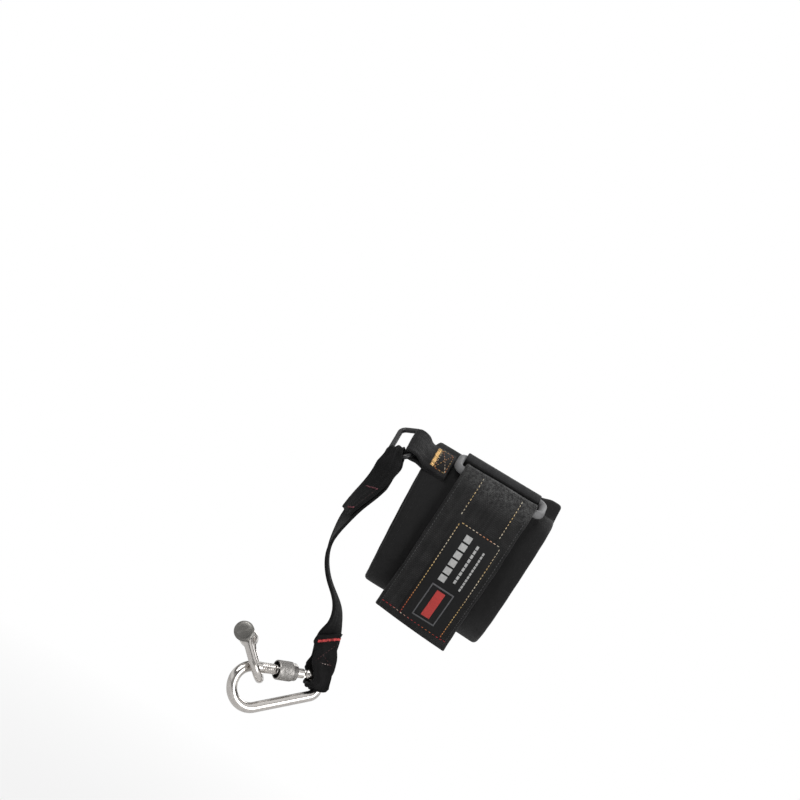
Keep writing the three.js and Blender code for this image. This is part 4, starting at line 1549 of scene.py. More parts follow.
        tail_width = self.width * (1 - 0.07 * ease(np.linspace(-1, 1, 59)))
        widths = np.concatenate([width, mouth + (eye_width - mouth) * tight, width[::-1], tail_width])
        section = flat_section(self.width, self.thick, 26)
        shape = repeated(section, len(places))
        pinch = widths / self.width
        shape[..., 0] *= pinch[:, None]
        deep = np.minimum(0.46, 1.7 * (1 - pinch))
        shape[..., 1] += deep[:, None] * (np.cos(3.4 * np.pi * section[:, 0] / self.width + 0.4)[None, :] - 0.25)
        grid = sweep(Rail(places, acrosses, unit(ups)), shape)
        skew = (0.0 if upper else self.slant) * ease((np.arange(len(places)) - len(places) + 40) / 30.0)
        grid = grid + (skew[:, None] * shape[..., 0])[..., None] * unit(np.gradient(places, axis=0))[:, None, :]
        return Surface().add(grid).make(name, CLOTH_EDGE)

    def over(self, height: float, side: int, shift: float, trim: float, count: int,
             slant: float) -> tuple[Array, Array, Array]:
        """A line straight across the sewn end's face at a height.

        Args:
            height: Where it crosses.
            side: 1 or -1, the face.
            shift: How far the line is moved across.
            trim: How far it stays from the edges.
            count: Number of points.
            slant: Millimetres along the webbing for each one across.

        Returns:
            Points, directions out of the face, and the way along the webbing.
        """
        place, along, wide, up = self.stations(np.array([self.at_height(height)]))
        reach = np.linspace(-1, 1, count)[:, None] * (self.width / 2 - trim) + shift
        join = self.at_height(self.lower_end)
        open_by = ease(self.open_rate * np.array((self.at_height(height) - join) / (self.route.knots[-1] - join)))
        stand = 1.5 * self.thick + 2 * self.gap + (self.eye_radius - self.thick - 2 * self.gap) * open_by
        line = place[0] + side * stand * up[0] + reach * (wide[0] - slant * along[0])
        return line, np.tile(side * up[0], (count, 1)), along[0]

    def tack(self, bar: BarTack) -> bpy.types.Object:
        """Sews one bar tack as short threads along the line that `over` gives.

        Args:
            bar: Where it lies and how it looks.

        Returns:
            The tack.
        """
        line, ups, along = self.over(bar.height, bar.side, bar.shift, bar.trim, 12, bar.slant)
        sewn = self.needle.tack(Surface(), line, ups, along, bar.wide, bar.colour, pitch=bar.pitch)
        return sewn.make(bar.name)

    def seams(self) -> bpy.types.Object:
        """Dark red rows: the closing row and cross over the lower loop, and edge rows on the upper one.

        Returns:
            The stitches.
        """
        sewn = Surface()
        dark = [(0.06, 0.022, 0.024), (0.1, 0.05, 0.05)]
        low, ups, _ = self.over(-80.4, 1, -1.1, 1.4, 30, 0.2)
        self.needle.row(sewn, low, ups, 1.35, 0.62, [*dark, (0.5, 0.4, 0.38), (0.1, 0.04, 0.04)], 0.3)
        top, _, _ = self.over(-72.2, 1, -1.2, 1.4, 30, 0.4)
        share = np.linspace(0, 1, 30)[:, None]
        for first, last in ((top[2], low[-3]), (top[-3], low[2])):
            self.needle.row(sewn, first + (last - first) * share, ups, 1.5, 0.6, [dark[1], dark[0]], 0.28, 13)
        place, _, wide, up = self.stations(np.linspace(self.at_height(2.5), self.at_height(-11.5), 40))
        for shift in (-4.6, 4.6):
            line = place - (1.5 * self.thick + 2 * self.gap) * up + shift * wide
            self.needle.row(sewn, line, -up, 1.7, 0.6, [(0.06, 0.028, 0.03), (0.035, 0.025, 0.026)], 0.28, 11)
        return sewn.make("lanyard_seams")


# ---------------------------------------------------------------- cuff


@dataclass(frozen=True)
class Oval:
    """The cuff's outer outline: angle 0 is the top and it grows toward the front."""

    half_y: float = 25.5
    half_z: float = 34.1
    centre_z: float = -2.9
    elbow_x: float = 29.9
    hand_x: float = -32.5
    hand_skew: float = 1.8
    flare_height: float = 10.2
    flare_run: float = 11.5
    flare_rise: float = 3.2
    elbow_skew: float = 1.3
    back_share: float = 0.19
    back_start: float = 0.02
    top_share: float = 0.6
    swell: float = 6.0
    swell_angle: float = -0.3
    swell_width: float = 0.33
    swell_x: float = -17.2

    def flare(self, x: Array, angle: Array) -> Array:
        """The edges stand up behind the ring.

        At the elbow by height * ease(along) * ease(back) * ease(top), and at the hand by a swell that is
        swell * exp(-((angle - swell_angle) / swell_width)^2) from the strap's side on.

        Args:
            x: Places along the forearm.
            angle: Angles round the oval.

        Returns:
            The rise in millimetres.
        """
        along = 0.84 * ease((x - self.elbow_x + self.flare_run) / self.flare_rise)
        along = along + 0.16 * ease((x - self.elbow_x + 9.0) / 7.0)
        back = ease((self.back_start - np.sin(angle)) / (2 * self.back_share))
        elbow = self.flare_height * along * back * ease(np.cos(angle) / self.top_share)
        turned_by = (angle - self.swell_angle + np.pi) % (2 * np.pi) - np.pi
        hand = self.swell * ease((self.swell_x - x) / 3.5) * ease((x + 36.0) / 4.5)
        return elbow + hand * np.exp(-((turned_by / self.swell_width) ** 2))

    def point(self, x: Array, angle: Array, offset: Array) -> Array:
        """(x, -(half_y + offset) sin angle, centre_z + (half_z + offset + flare) cos angle).

        Args:
            x: Places along the forearm.
            angle: Angles round the oval.
            offset: Millimetres out of it.

        Returns:
            Places, with the shape of the arguments.
        """
        x, angle, offset = np.broadcast_arrays(np.asarray(x, float), angle, offset)
        y = -(self.half_y + offset) * np.sin(angle)
        z = self.centre_z + (self.half_z + offset + self.flare(x, angle)) * np.cos(angle)
        return np.stack([x, y, z], -1)

    def out(self, angle: Array) -> Array:
        """Direction out of the oval: (0, -sin a / half_y, cos a / half_z) at length 1."""
        angle = np.asarray(angle, float)
        return unit(np.stack([0 * angle, -np.sin(angle) / self.half_y, np.cos(angle) / self.half_z], -1))

    def round_way(self, angle: float) -> Array:
        """Direction round the oval toward the front: X x out."""
        out = self.out(angle)
        return np.array([0.0, -out[2], out[1]])

    def elbow_edge(self, angle: Array) -> Array:
        """X of the edge at the elbow, which stands out most at the top."""
        return self.elbow_x + self.elbow_skew * (1 + np.cos(angle))

    def hand_edge(self, angle: Array) -> Array:
        """X of the edge at the hand, a little askew."""
        return self.hand_x - self.hand_skew * np.cos(angle)


OVAL = Oval()


@dataclass
class Cuff(Assembly):
    """The padded sleeve: a soft body with rounded edges, its lining and its seams."""

    PLAN = (
        Piece("body", "pile", "cuff_cloth", "cuff",
              ("cuff_cloth", "cuff_padding", "cuff_edge_hand", "cuff_edge_elbow")),
        Piece("inside", "knit", "cuff_padding", "cuff", ("cuff_lining",)),
        Piece("seams", "thread", "cuff_cloth", "cuff"),
    )

    wall: float = 3.3
    lining: float = 0.6
    edge: float = 2.2
    seam_inset: float = 3.6
    steps: int = 300

    def relief(self, x: Array, angle: Array) -> Array:
        """Soft unevenness of the outer face in millimetres.

        It is the sum of slow waves round the sleeve, a pinch beside the strap's two edges, and small
        ripples that fade in toward the free edges.

        Args:
            x: Places along the forearm.
            angle: Angles round the oval.

        Returns:
            Offsets, never far above 0 where the strap lies.
        """
        front = ease((np.sin(angle) + 0.1) / 0.5) * ease((np.cos(angle) + 0.75) / 0.3)
        covered = front * ease((x + 22.0) / 4.0) * ease((26.0 - x) / 4.0)
        slow = 0.28 * np.sin(3 * angle + 0.09 * x + 0.6) + 0.2 * np.sin(5 * angle - 0.13 * x + 2.0)
        near_hand = ease((-20.0 - x) / 12.0)
        near_elbow = ease((x - 17.0) / 12.0)
        ripple = 0.09 * np.sin(13.0 * angle + 0.35 * x) * near_hand
        ripple = ripple + 0.08 * np.sin(15.0 * angle - 0.3 * x + 1.0) * near_elbow
        pinch = -0.45 * np.exp(-((x + 19.5) / 2.4) ** 2) - 0.45 * np.exp(-((x - 23.0) / 2.4) ** 2)
        free = (slow + ripple) * (1 - covered)
        return free - 0.35 * covered + pinch * front

    def rounded(self, angle: Array, edge: Array, side: int) -> Array:
        """The turn from one face to the other round a free edge: nearly a half ellipse in section.

        Args:
            angle: Angles round the oval, (steps, 1).
            edge: X of the edge at each.
            side: 1 at the elbow, from outside to inside; -1 at the hand, and back.

        Returns:
            Places, (steps, 11, 3).
        """
        turn = np.linspace(0, np.pi, 13)[1:-1][None, :]
        wave = 0.1 * np.sin(3 * angle) + 0.03 * np.sin(17 * angle + 1.3)
        tip = edge - side * self.edge + side * (self.edge + wave) * np.sin(turn) ** 0.85
        rest = self.relief(edge - side * self.edge, angle) * (1 + side * np.cos(turn)) / 2
        return OVAL.point(tip, angle, rest - self.wall / 2 * (1 - side * np.cos(turn)))

    def body(self) -> bpy.types.Object:
        """Outer cloth and foam as one closed form: out along the outer face, round each edge, back inside.

        Returns:
            The sleeve.
        """
        angle = full_turn(self.steps)[:, None]
        low, high = OVAL.hand_edge(angle), OVAL.elbow_edge(angle)
        u = np.linspace(0, 1, 60)[None, :]
        outer_x = low + self.edge + (high - low - 2 * self.edge) * u
        outer = OVAL.point(outer_x, angle, self.relief(outer_x, angle))
        inner_x = outer_x[:, ::-1]
        inner = OVAL.point(inner_x, angle, np.full_like(inner_x, -self.wall))
        grid = np.concatenate([outer, self.rounded(angle, high, 1), inner, self.rounded(angle, low, -1)], axis=1)
        return Surface().add(grid, Caps.JOINED).make("cuff_body", PADDED_EDGE)

    def inside(self) -> bpy.types.Object:
        """The lining: a thin closed layer on the inner face, short of both edges, with a soft hem.

        Returns:
            The lining.
        """
        angle = full_turn(200)[:, None]
        low, high = OVAL.hand_edge(angle) + 3.2, OVAL.elbow_edge(angle) - 3.2
        u = np.linspace(0, 1, 30)[None, :]
        x = low + (high - low) * u
        puff = 0.12 * np.sin(11 * angle + 0.2 * x) + 0.3 * ease(np.minimum(u, 1 - u) / 0.06)
        outer = OVAL.point(x, angle, np.full_like(x, -self.wall - 0.06))
        inner = OVAL.point(x, angle, -self.wall - self.lining * 0.6 - puff * 0.6)[:, ::-1]
        return Surface().add(np.concatenate([outer, inner], axis=1), Caps.JOINED).make("cuff_lining_knit", CLOTH_EDGE)

    def seams(self) -> bpy.types.Object:
        """Dark rows of stitches round both edges, outside and inside, and the closing seam at the back.

        Returns:
            The stitches.
        """
        sewn = Surface()
        angle = np.linspace(0, 2 * np.pi, 400)
        for x in (OVAL.hand_edge(angle) + self.seam_inset, OVAL.elbow_edge(angle) - self.seam_inset):
            for side, offset, wide, seed in (
                (1, self.relief(x, angle), 0.24, 17), (-1, np.full_like(x, -self.wall - 0.2), 0.34, 18),
            ):
                line = OVAL.point(x, angle, offset)
                self.needle.row(sewn, line, side * OVAL.out(angle), 2.4, 0.66, [BLACK], wide, seed)
        for turn in (-1.25, -1.33):
            x = np.linspace(-28.0, 26.5, 120)
            line = OVAL.point(x, turn, self.relief(x, np.full_like(x, turn)))
            self.needle.row(sewn, line, np.tile(OVAL.out(turn), (120, 1)), 2.2, 0.66, [BLACK], 0.36, 19)
        return sewn.make("cuff_seams")

    def build(self, maker: Maker) -> list[bpy.types.Object]:
        """Args:
            maker: Finishes the pieces.

        Returns:
            The pieces.
        """
        pieces = super().build(maker)
        return pieces


# ---------------------------------------------------------------- closing strap and its ring


@dataclass
class ClosingStrap(Assembly):
    """Wide strap that runs from the cuff's front through the grey ring and folds back on itself."""

    PLAN = (
        Piece("ring", "grey", "grey_plastic", "cuff", ("buckle_ring",)),
        Piece("anchor", "elastic", "webbing", "cuff", ("buckle_anchor",)),
        Piece("inner", "webbing", "webbing", "cuff", ("strap_base",)),
        Piece("outer", "webbing", "webbing", None, ("pull_tab",)),
        Piece("hooks", "hooks", "hook_tape", "tab", ("tab_hook_patch",)),
        Piece("label", "label", "label", "tab", ("tab_label",)),
        Piece("label_marks", "thread", "label", "tab"),
        Piece("strap_stitches", "thread", "orange_thread", None),
        Piece("label_stitches", "thread", "orange_thread", "tab"),
        Piece("anchor_stitches", "thread", "webbing", "cuff"),
    )

    width: float = 38.1
    thick: float = 1.8
    gap: float = 0.3
    ring_x: float = 2.1
    ring_wire: float = 3.9
    ring_room: float = 2.1
    ring_span: float = 15.0
    ring_corner: float = 3.7
    front_inset: float = 8.5
    front_drop: float = 1.8
    rear_lift: float = 3.5
    anchor_thick: float = 1.2
    skew: float = 2.8
    leave_deg: float = 134.0
    free_length: float = 20.6
    hook_thick: float = 1.4
    hook_margin: float = 2.0
    label_width: float = 24.6
    label_thick: float = 0.4
    label_shift: float = 3.5
    face_rows: tuple[tuple[float, float], ...] = ((-9.0, 32.2), (11.8, 31.2))
    edge_row: float = 17.6
    anchor_row: float = 17.2
    fold_deg: float = 50.0
    fold_reach: float = 1.6

    def __post_init__(self) -> None:
        """Places the ring's two bars on the oval and the strap's layers off it."""
        top = OVAL.centre_z + OVAL.half_z
        rise = self.rear_lift + self.front_drop
        reach = math.sqrt(self.ring_span**2 - rise**2)
        self.front = np.array([self.ring_x, self.front_inset - OVAL.half_y, top - self.front_drop])
        self.rear = np.array([self.ring_x, self.front[1] + reach, top + self.rear_lift])
        self.wrap = self.ring_wire / 2 + self.gap + self.thick / 2
        self.base_lift = self.gap + self.thick / 2
        self.tab_lift = self.base_lift + self.thick + self.gap
        self.cuff_height = 2 * OVAL.half_z

    def middle(self, z: Array) -> Array:
        """X of the strap's middle: it drifts toward the hand as it comes down the front."""
        return self.ring_x - self.skew * np.clip((self.front[2] - z) / self.cuff_height, 0, 1)

    @staticmethod
    def round_bar(bar: Array, radius: float, angle: Array) -> Array:
        """(0, y - radius sin a, z + radius cos a) about a bar."""
        angle = np.asarray(angle, float)
        return np.stack([0 * angle, bar[1] - radius * np.sin(angle), bar[2] + radius * np.cos(angle)], -1)

    def rail(self, points: Array, count: int, shift: float = 0.0, side: int = 1) -> Rail:
        """An even rail through points in the Y-Z plane, with X from the strap's middle.

        Args:
            points: (n, 3) with any X.
            count: Stations.
            shift: X added to the middle.
            side: 1 or -1, which face is up.

        Returns:
            A rail that runs across X, with up = side (X x along).
        """
        places = np.array(points, float)
        places[:, 0] = self.middle(places[:, 2]) + shift
        even = Spline(places).even(count, 10)
        along = unit(np.gradient(even, axis=0))
        wide = square_to(np.tile([1.0, 0.0, 0.0], (count, 1)), along)
        return Rail(even, wide, side * np.cross(wide, along))

    def down_front(self, lift: float, first_deg: float) -> Array:
        """Points down the cuff's front at a lift, then straight on past it to the free end.

        Args:
            lift: Height over the cuff.
            first_deg: Where it starts, from the top on.

        Returns:
            Places, (15, 3).
        """
        angle = np.radians(np.linspace(max(64.0, first_deg), self.leave_deg, 12))
        points = OVAL.point(0.0, angle, lift)
        away = OVAL.round_way(math.radians(self.leave_deg))
        tail = points[-1] + away * (self.free_length * np.array([[1.0], [2.0], [3.0]]) / 3)
        return np.vstack([points, tail])

    def ring(self) -> bpy.types.Object:
        """The grey ring: a rounded rectangle of moulded rod, a little flattened and thicker at its ends.

        The section is a superellipse with exponent 2.6: (a sgn(c) |c|^(2/2.6), b sgn(s) |s|^(2/2.6)).

        Returns:
            The ring.
        """
        length = self.width + self.ring_wire + self.ring_room
        span, corner = self.ring_span, self.ring_corner
        centre = (self.front + self.rear) / 2
        x = np.array([1.0, 0.0, 0.0])
        cross = unit(self.rear - self.front)
        places, ways = rounded_path(centre, x, cross, length, span, corner, 12, 14)
        normal = np.cross(x, cross)
        turn = full_turn(30)
        c, s = np.cos(turn), np.sin(turn)
        shape = np.stack([np.sign(c) * np.abs(c) ** 0.77, np.sign(s) * np.abs(s) ** 0.77], -1) * self.ring_wire / 2
        ends = ease((np.abs((places - centre) @ x) - length / 2 + 3.0) / 2.4)
        scale = np.stack([0.97 - 0.1 * ends, 0.97 + 0.02 * ends], -1)
        rail = Rail.flat(places, ways, normal).moved(across=(0.1 * ends)[:, None])
        grid = sweep(rail, shape, scale)
        return Surface().add(grid, Caps.JOINED).make("strap_ring", PLASTIC_EDGE)

    def anchor(self) -> bpy.types.Object:
        """The loop round the ring's rear bar: both layers run back over the cuff's top, finely ribbed, with painted
        shade that darkens it where its face turns down.

        Returns:
            The loop.
        """
        low = self.gap + self.anchor_thick / 2
        high = low + self.anchor_thick + self.gap
        radius = self.ring_wire / 2 + self.gap + self.anchor_thick / 2
        back = OVAL.point(0.0, -np.radians(np.linspace(34, 5, 6)), low)
        wrap = self.round_bar(self.rear, radius, np.radians(np.linspace(200, -32, 14)))
        over = OVAL.point(0.0, -np.radians(np.linspace(16, 34, 4)), high)
        points = np.vstack([back, wrap, over])
        rail = self.rail(points, 150)
        rail = Rail(rail.place * [0, 1, 1] + [self.ring_x - 0.6, 0, 0], rail.across, rail.up)
        section = flat_section(self.width + 1.5, self.anchor_thick, 44)
        walked = np.linspace(0, rail.length, 150)
        rib = 0.05 * np.sin(2 * np.pi * walked / 1.9)
        shape = repeated(section, 150)
        shape[..., 1] += rib[:, None] * (section[:, 1] > 0)
        self.anchor_rail = rail
        # Painted shade: the tint falls from full colour where the face looks up to a tenth where it turns down, under
        # and behind the rear bar.
        shade = 0.1 + 0.9 * ease((rail.up[:, 2] + 0.15) / 0.45) * np.where(rail.up[:, 2] < -0.3, 0.3, 1.0)
        tint = np.broadcast_to(shade[:, None, None], (150, len(section), 3))
        return Surface().add(sweep(rail, shape), Caps.STRIP, tint).make("ring_anchor_cloth", CLOTH_EDGE)

    def inner(self) -> bpy.types.Object:
        """The inner layer: up the front, behind the front bar and round it to the hidden joint.

        Returns:
            The layer.
        """
        climb = OVAL.point(0.0, np.radians(np.linspace(96, 46, 10)), self.base_lift)
        behind = self.round_bar(self.front, self.wrap, np.radians(np.linspace(-140, -62, 7)))
        rail = self.rail(np.vstack([climb, behind]), 120)
        section = flat_section(self.width, self.thick, 40)
        return Surface().add(sweep(rail, section)).make("strap_inner_layer", CLOTH_EDGE)

    def outer_rail(self) -> Rail:
        """Middle line of the outer layer, from behind the front bar over it and down to the free end."""
        over = self.round_bar(self.front, self.wrap, np.radians(np.linspace(-56, 64, 12)))
        return self.rail(np.vstack([over, self.down_front(self.tab_lift, 0.0)]), 260, side=-1)

    def outer(self) -> bpy.types.Object:
        """The outer layer: thick webbing with raised selvedges, a soft ripple and worn pile at the fold, and
        a free end that cups and runs a little askew.

        Returns:
            The strap, which bends at the fold.
        """
        rail = self.outer_rail()
        self.tab_rail = rail
        section = flat_section(self.width, self.thick, 60)
        shape = repeated(section, 260)
        u = section[:, 0] / (self.width / 2)
        walked = np.linspace(0, rail.length, 260)
        raised = 0.1 * np.exp(-((np.abs(u) - 0.95) / 0.035) ** 2)
        end = ease((walked - rail.length + 16.0) / 16.0)
        fold = ease(1 - walked / 14.0)
        cup = -0.55 * end[:, None] * u[None, :] ** 2 + 0.12 * fold[:, None] * np.cos(5.0 * u)[None, :]
        shape[..., 1] += raised[None, :] * np.sign(section[:, 1])[None, :] + cup
        edge = 0.12 * np.sin(walked / 5.3) + 0.08 * np.sin(walked / 2.1 + 1.0)
        shape[..., 0] += edge[:, None] * np.sign(u)[None, :] * (np.abs(u) > 0.9)[None, :]
        along = unit(np.gradient(rail.place, axis=0))
        skew = 0.11 * ease((walked - rail.length + 30.0) / 30.0)
        shape[..., 0] *= 1 + 0.03 * end[:, None]
        grid = sweep(rail, shape) + (skew[:, None] * shape[..., 0])[..., None] * along[:, None, :]
        worn = ease((20.0 - walked) / 13.0)[:, None] * (0.55 + 0.45 * ease((u[None, :] + 0.9) / 0.7))
        tint = (1 + worn)[..., None] * np.ones(3)
        return Surface().add(grid, Caps.STRIP, tint).make("strap_outer_layer", CLOTH_EDGE)

    def hooks(self) -> bpy.types.Object:
        """Hook tape behind the outer layer's lower half.

        Returns:
            The tape.
        """
        lift = self.tab_lift - self.thick / 2 - self.gap - self.hook_thick / 2
        points = OVAL.point(0.0, np.radians(np.linspace(101.0, self.leave_deg, 8)), lift)
        rail = self.rail(points, 60)
        section = flat_section(self.width - 2 * self.hook_margin, self.hook_thick + 0.3, 40)
        return Surface().add(sweep(rail, section)).make("strap_hook_tape", CLOTH_EDGE)

    def label_rail(self) -> Rail:
        """Middle line of the label on the outer layer's face.

        Returns:
            The rail.
        """
        lift = self.tab_lift + self.thick / 2 + self.gap + self.label_thick / 2 - 0.22
        rail = self.rail(self.down_front(lift, 71.0), 220, self.label_shift, -1)
        return rail.part(0.0, rail.length - 3.6, 150)

    def label(self) -> bpy.types.Object:
        """The label: fine dark cloth with rounded corners and a raised hem.

        Near its ends the half width is w / 2 - r + sqrt(r^2 - (r - s)^2), with s the way from the end.

        Returns:
            The label.
        """
        rail = self.label_rail()
        total = rail.length
        rows, across = 150, 61
        walked = np.linspace(0, total, rows)
        near = np.minimum(walked, total - walked)
        r = 2.0
        inset = r - np.sqrt(np.maximum(r**2 - np.maximum(r - near, 0) ** 2, 0))
        half = self.label_width / 2 - inset
        section = flat_section(2.0, self.label_thick, across)
        shape = repeated(section, rows)
        shape[..., 0] *= half[:, None]
        u = shape[..., 0]
        puff = 0.1 * ease((np.abs(self.label_width / 2 - 1.3 - np.abs(u)) - 0.1) / 0.8)
        shape[..., 1] += np.where(section[:, 1] > 0, 1.0, 0.0)[None, :] * (puff - 0.05)
        return Surface().add(sweep(rail, shape)).make("strap_label", CLOTH_EDGE)

    def label_marks(self) -> bpy.types.Object:
        """Generic woven marks on the label: rows of pale bars, and a plain red block in a thin grey frame.

        Returns:
            The marks.
        """
        rail = self.label_rail().moved(up=self.label_thick / 2 + 0.06)
        total = rail.length
        marks = Surface()
        grey, pale, red = (0.1, 0.1, 0.105), (0.42, 0.42, 0.415), (0.5, 0.05, 0.045)
        for start, end, count, shift, width, colour in (
            (0.08, 0.52, 6, -3.6, 3.4, pale), (0.11, 0.47, 9, 2.1, 1.2, pale), (0.13, 0.5, 12, 6.0, 0.9, pale),
            (0.585, 0.87, 1, -0.3, 4.4, red), (0.55, 0.91, 1, -5.9, 0.6, grey), (0.55, 0.91, 1, 5.3, 0.6, grey),
            (0.55, 0.563, 1, -0.3, 11.2, grey), (0.897, 0.91, 1, -0.3, 11.2, grey),
        ):
            for first in np.linspace(start, end, count, endpoint=False):
                last = first + (end - start) / count * (0.78 if count > 1 else 1.0)
                stretch = rail.part(first * total, last * total, 10).moved(across=shift)
                marks.add(sweep(stretch, flat_section(width, 0.16, 8)), Caps.STRIP, np.array(colour))
        return marks.make("label_marks", CLOTH_EDGE)

    @staticmethod
    def face_line(rail: Rail, start: float, end: float, x: float, lift: float,
                  count: int = 80) -> tuple[Array, Array]:
        """Points between two lengths of a rail, at x across and a lift off it, and directions up."""
        stretch = rail.part(start, end, count)
        return stretch.place + x * stretch.across + lift * stretch.up, stretch.up

    @staticmethod
    def cross_line(stretch: Rail, reach: Array, lift: float | Array, slant: float = 0.0) -> tuple[Array, Array]:
        """A line across a rail.

        Args:
            stretch: Two stations of the rail.
            reach: Millimetres across, (n, 1).
            lift: Height over the rail.
            slant: Millimetres along the rail for each one across.

        Returns:
            Points and directions up.
        """
        along = slant * reach * unit(stretch.place[1:] - stretch.place[:1])
        line = stretch.place[0] + reach * stretch.across[0] + lift * stretch.up[0] + along
        return line, np.tile(stretch.up[0], (len(reach), 1))

    def strap_stitches(self) -> bpy.types.Object:
        """Rows on the outer layer: two from the fold to the label, its edges, and the end row.

        Returns:
            The stitches.
        """
        rail = self.tab_rail
        walked = run_lengths(rail.place)
        height = rail.place[:, 2]
        at = lambda z: float(walked[np.argmax((height < z) & (walked > 6.0))])
        face = self.thick / 2 + 0.02
        strap = Surface()
        for x, top in self.face_rows:
            line, up = self.face_line(rail, at(top), at(11.2), x, face)
            self.needle.row(strap, line, up, 1.78, 0.62, [CREAM, GOLD, CREAM], None, 21 + int(x))
        for x in (-self.edge_row, self.edge_row):
            line, up = self.face_line(rail, 5.0, rail.length - 2.0, x, face + 0.06)
            self.needle.row(strap, line, up, 1.6, 0.7, [GREY, GREY], 0.3, 25 + int(x))
        reach = np.linspace(-1, 1, 60)[:, None] * (self.width / 2 - 1.0)
        over = self.label_thick * (np.abs(reach - self.label_shift) < self.label_width / 2)
        line, up = self.cross_line(rail.part(rail.length - 5.1, rail.length - 5.0, 2), reach, face + over, 0.07)
        self.needle.row(strap, line, up, 2.0, 0.62, [RED, RED, CREAM, RED, RED, ORANGE, RED, RED], None, 31)
        return strap.make("strap_stitches")

    def label_stitches(self) -> bpy.types.Object:
        """The label's border: a row along each side and one across its upper end.

        Returns:
            The stitches.
        """
        label = Surface()
        rail = self.label_rail()
        lift = self.label_thick / 2 + 0.03
        inset = 1.3
        total, half = rail.length, self.label_width / 2 - inset
        for x in (-half, half):
            line, up = self.face_line(rail, inset + 0.6, total - 1.5, x, lift)
            dye = [GOLD, CREAM, GOLD, GOLD, ORANGE, RED] if x < 0 else [CREAM, GOLD, CREAM, GOLD, GOLD, ORANGE]
            self.needle.row(label, line, up, 1.7, 0.64, dye, None, 41 + int(x))
        reach = np.linspace(-1, 1, 30)[:, None] * (half - 0.5)
        line, up = self.cross_line(rail.part(inset - 0.05, inset + 0.05, 2), reach, lift)
        self.needle.row(label, line, up, 1.9, 0.62, [GOLD, CREAM, ORANGE, CREAM], None, 51)
        return label.make("label_stitches")

    def anchor_stitches(self) -> bpy.types.Object:
        """Dark rows that hold the anchor's tails to the cuff: two across and one along each side.

        Returns:
            The stitches.
        """
        sewn = Surface()
        rail = self.anchor_rail
        total = rail.length
        face = self.anchor_thick / 2 + 0.02
        for back in (1.6, 7.5):
            reach = np.linspace(-1, 1, 50)[:, None] * (self.width / 2 - 1.8)
            line, up = self.cross_line(rail.part(total - back - 0.05, total - back, 2), reach, face)
            self.needle.row(sewn, line, up, 2.0, 0.66, [BLACK], 0.36, 61)
        for x in (-self.anchor_row, self.anchor_row):
            line, up = self.face_line(rail, total - 7.5, total - 1.6, x, face, 30)
            self.needle.row(sewn, line, up, 2.0, 0.66, [BLACK], 0.36, 62)
        return sewn.make("anchor_stitches")

    def bind(self, piece: bpy.types.Object) -> None:
        """Bakes a piece's placement into its mesh; the piece rides on no body.

        Args:
            piece: The outer layer, or stitches on it.
        """
        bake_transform(piece)


def rounded_path(centre: Array, along: Array, cross: Array, length: float, span: float, corner: float,
                 turns: int, straight: int) -> tuple[Array, Array]:
    """Middle line of a rounded rectangle: four quarter circles with straight runs between them.

    Args:
        centre: Its middle.
        along: Direction of its length.
        cross: Direction of its span.
        length: Length between the middle lines.
        span: Span between the middle lines.
        corner: Radius of a corner's middle line.
        turns: Points on a corner.
        straight: Points on a side.

    Returns:
        Places and ways along, each (points, 3); the line closes on itself.
    """
    places, ways = [], []
    signs = [(1, 1), (-1, 1), (-1, -1), (1, -1)]
    for k, (a, c) in enumerate(signs):
        middle = centre + a * (length / 2 - corner) * along + c * (span / 2 - corner) * cross
        turn = np.pi / 2 * (k + np.linspace(0, 1, turns))
        ring = corner * (np.cos(turn)[:, None] * along + np.sin(turn)[:, None] * cross)
        way = -np.sin(turn)[:, None] * along + np.cos(turn)[:, None] * cross
        places.append(middle + ring)
        ways.append(way)
        a2, c2 = signs[(k + 1) % 4]
        after = centre + a2 * (length / 2 - corner) * along + c2 * (span / 2 - corner) * cross
        share = np.linspace(0, 1, straight + 2)[1:-1, None]
        start, end = places[-1][-1], after + ring[-1]
        places.append(start + share * (end - start))
        ways.append(np.tile(way[-1], (straight, 1)))
    return np.vstack(places), np.vstack(ways)


# ---------------------------------------------------------------- side loop and small ring


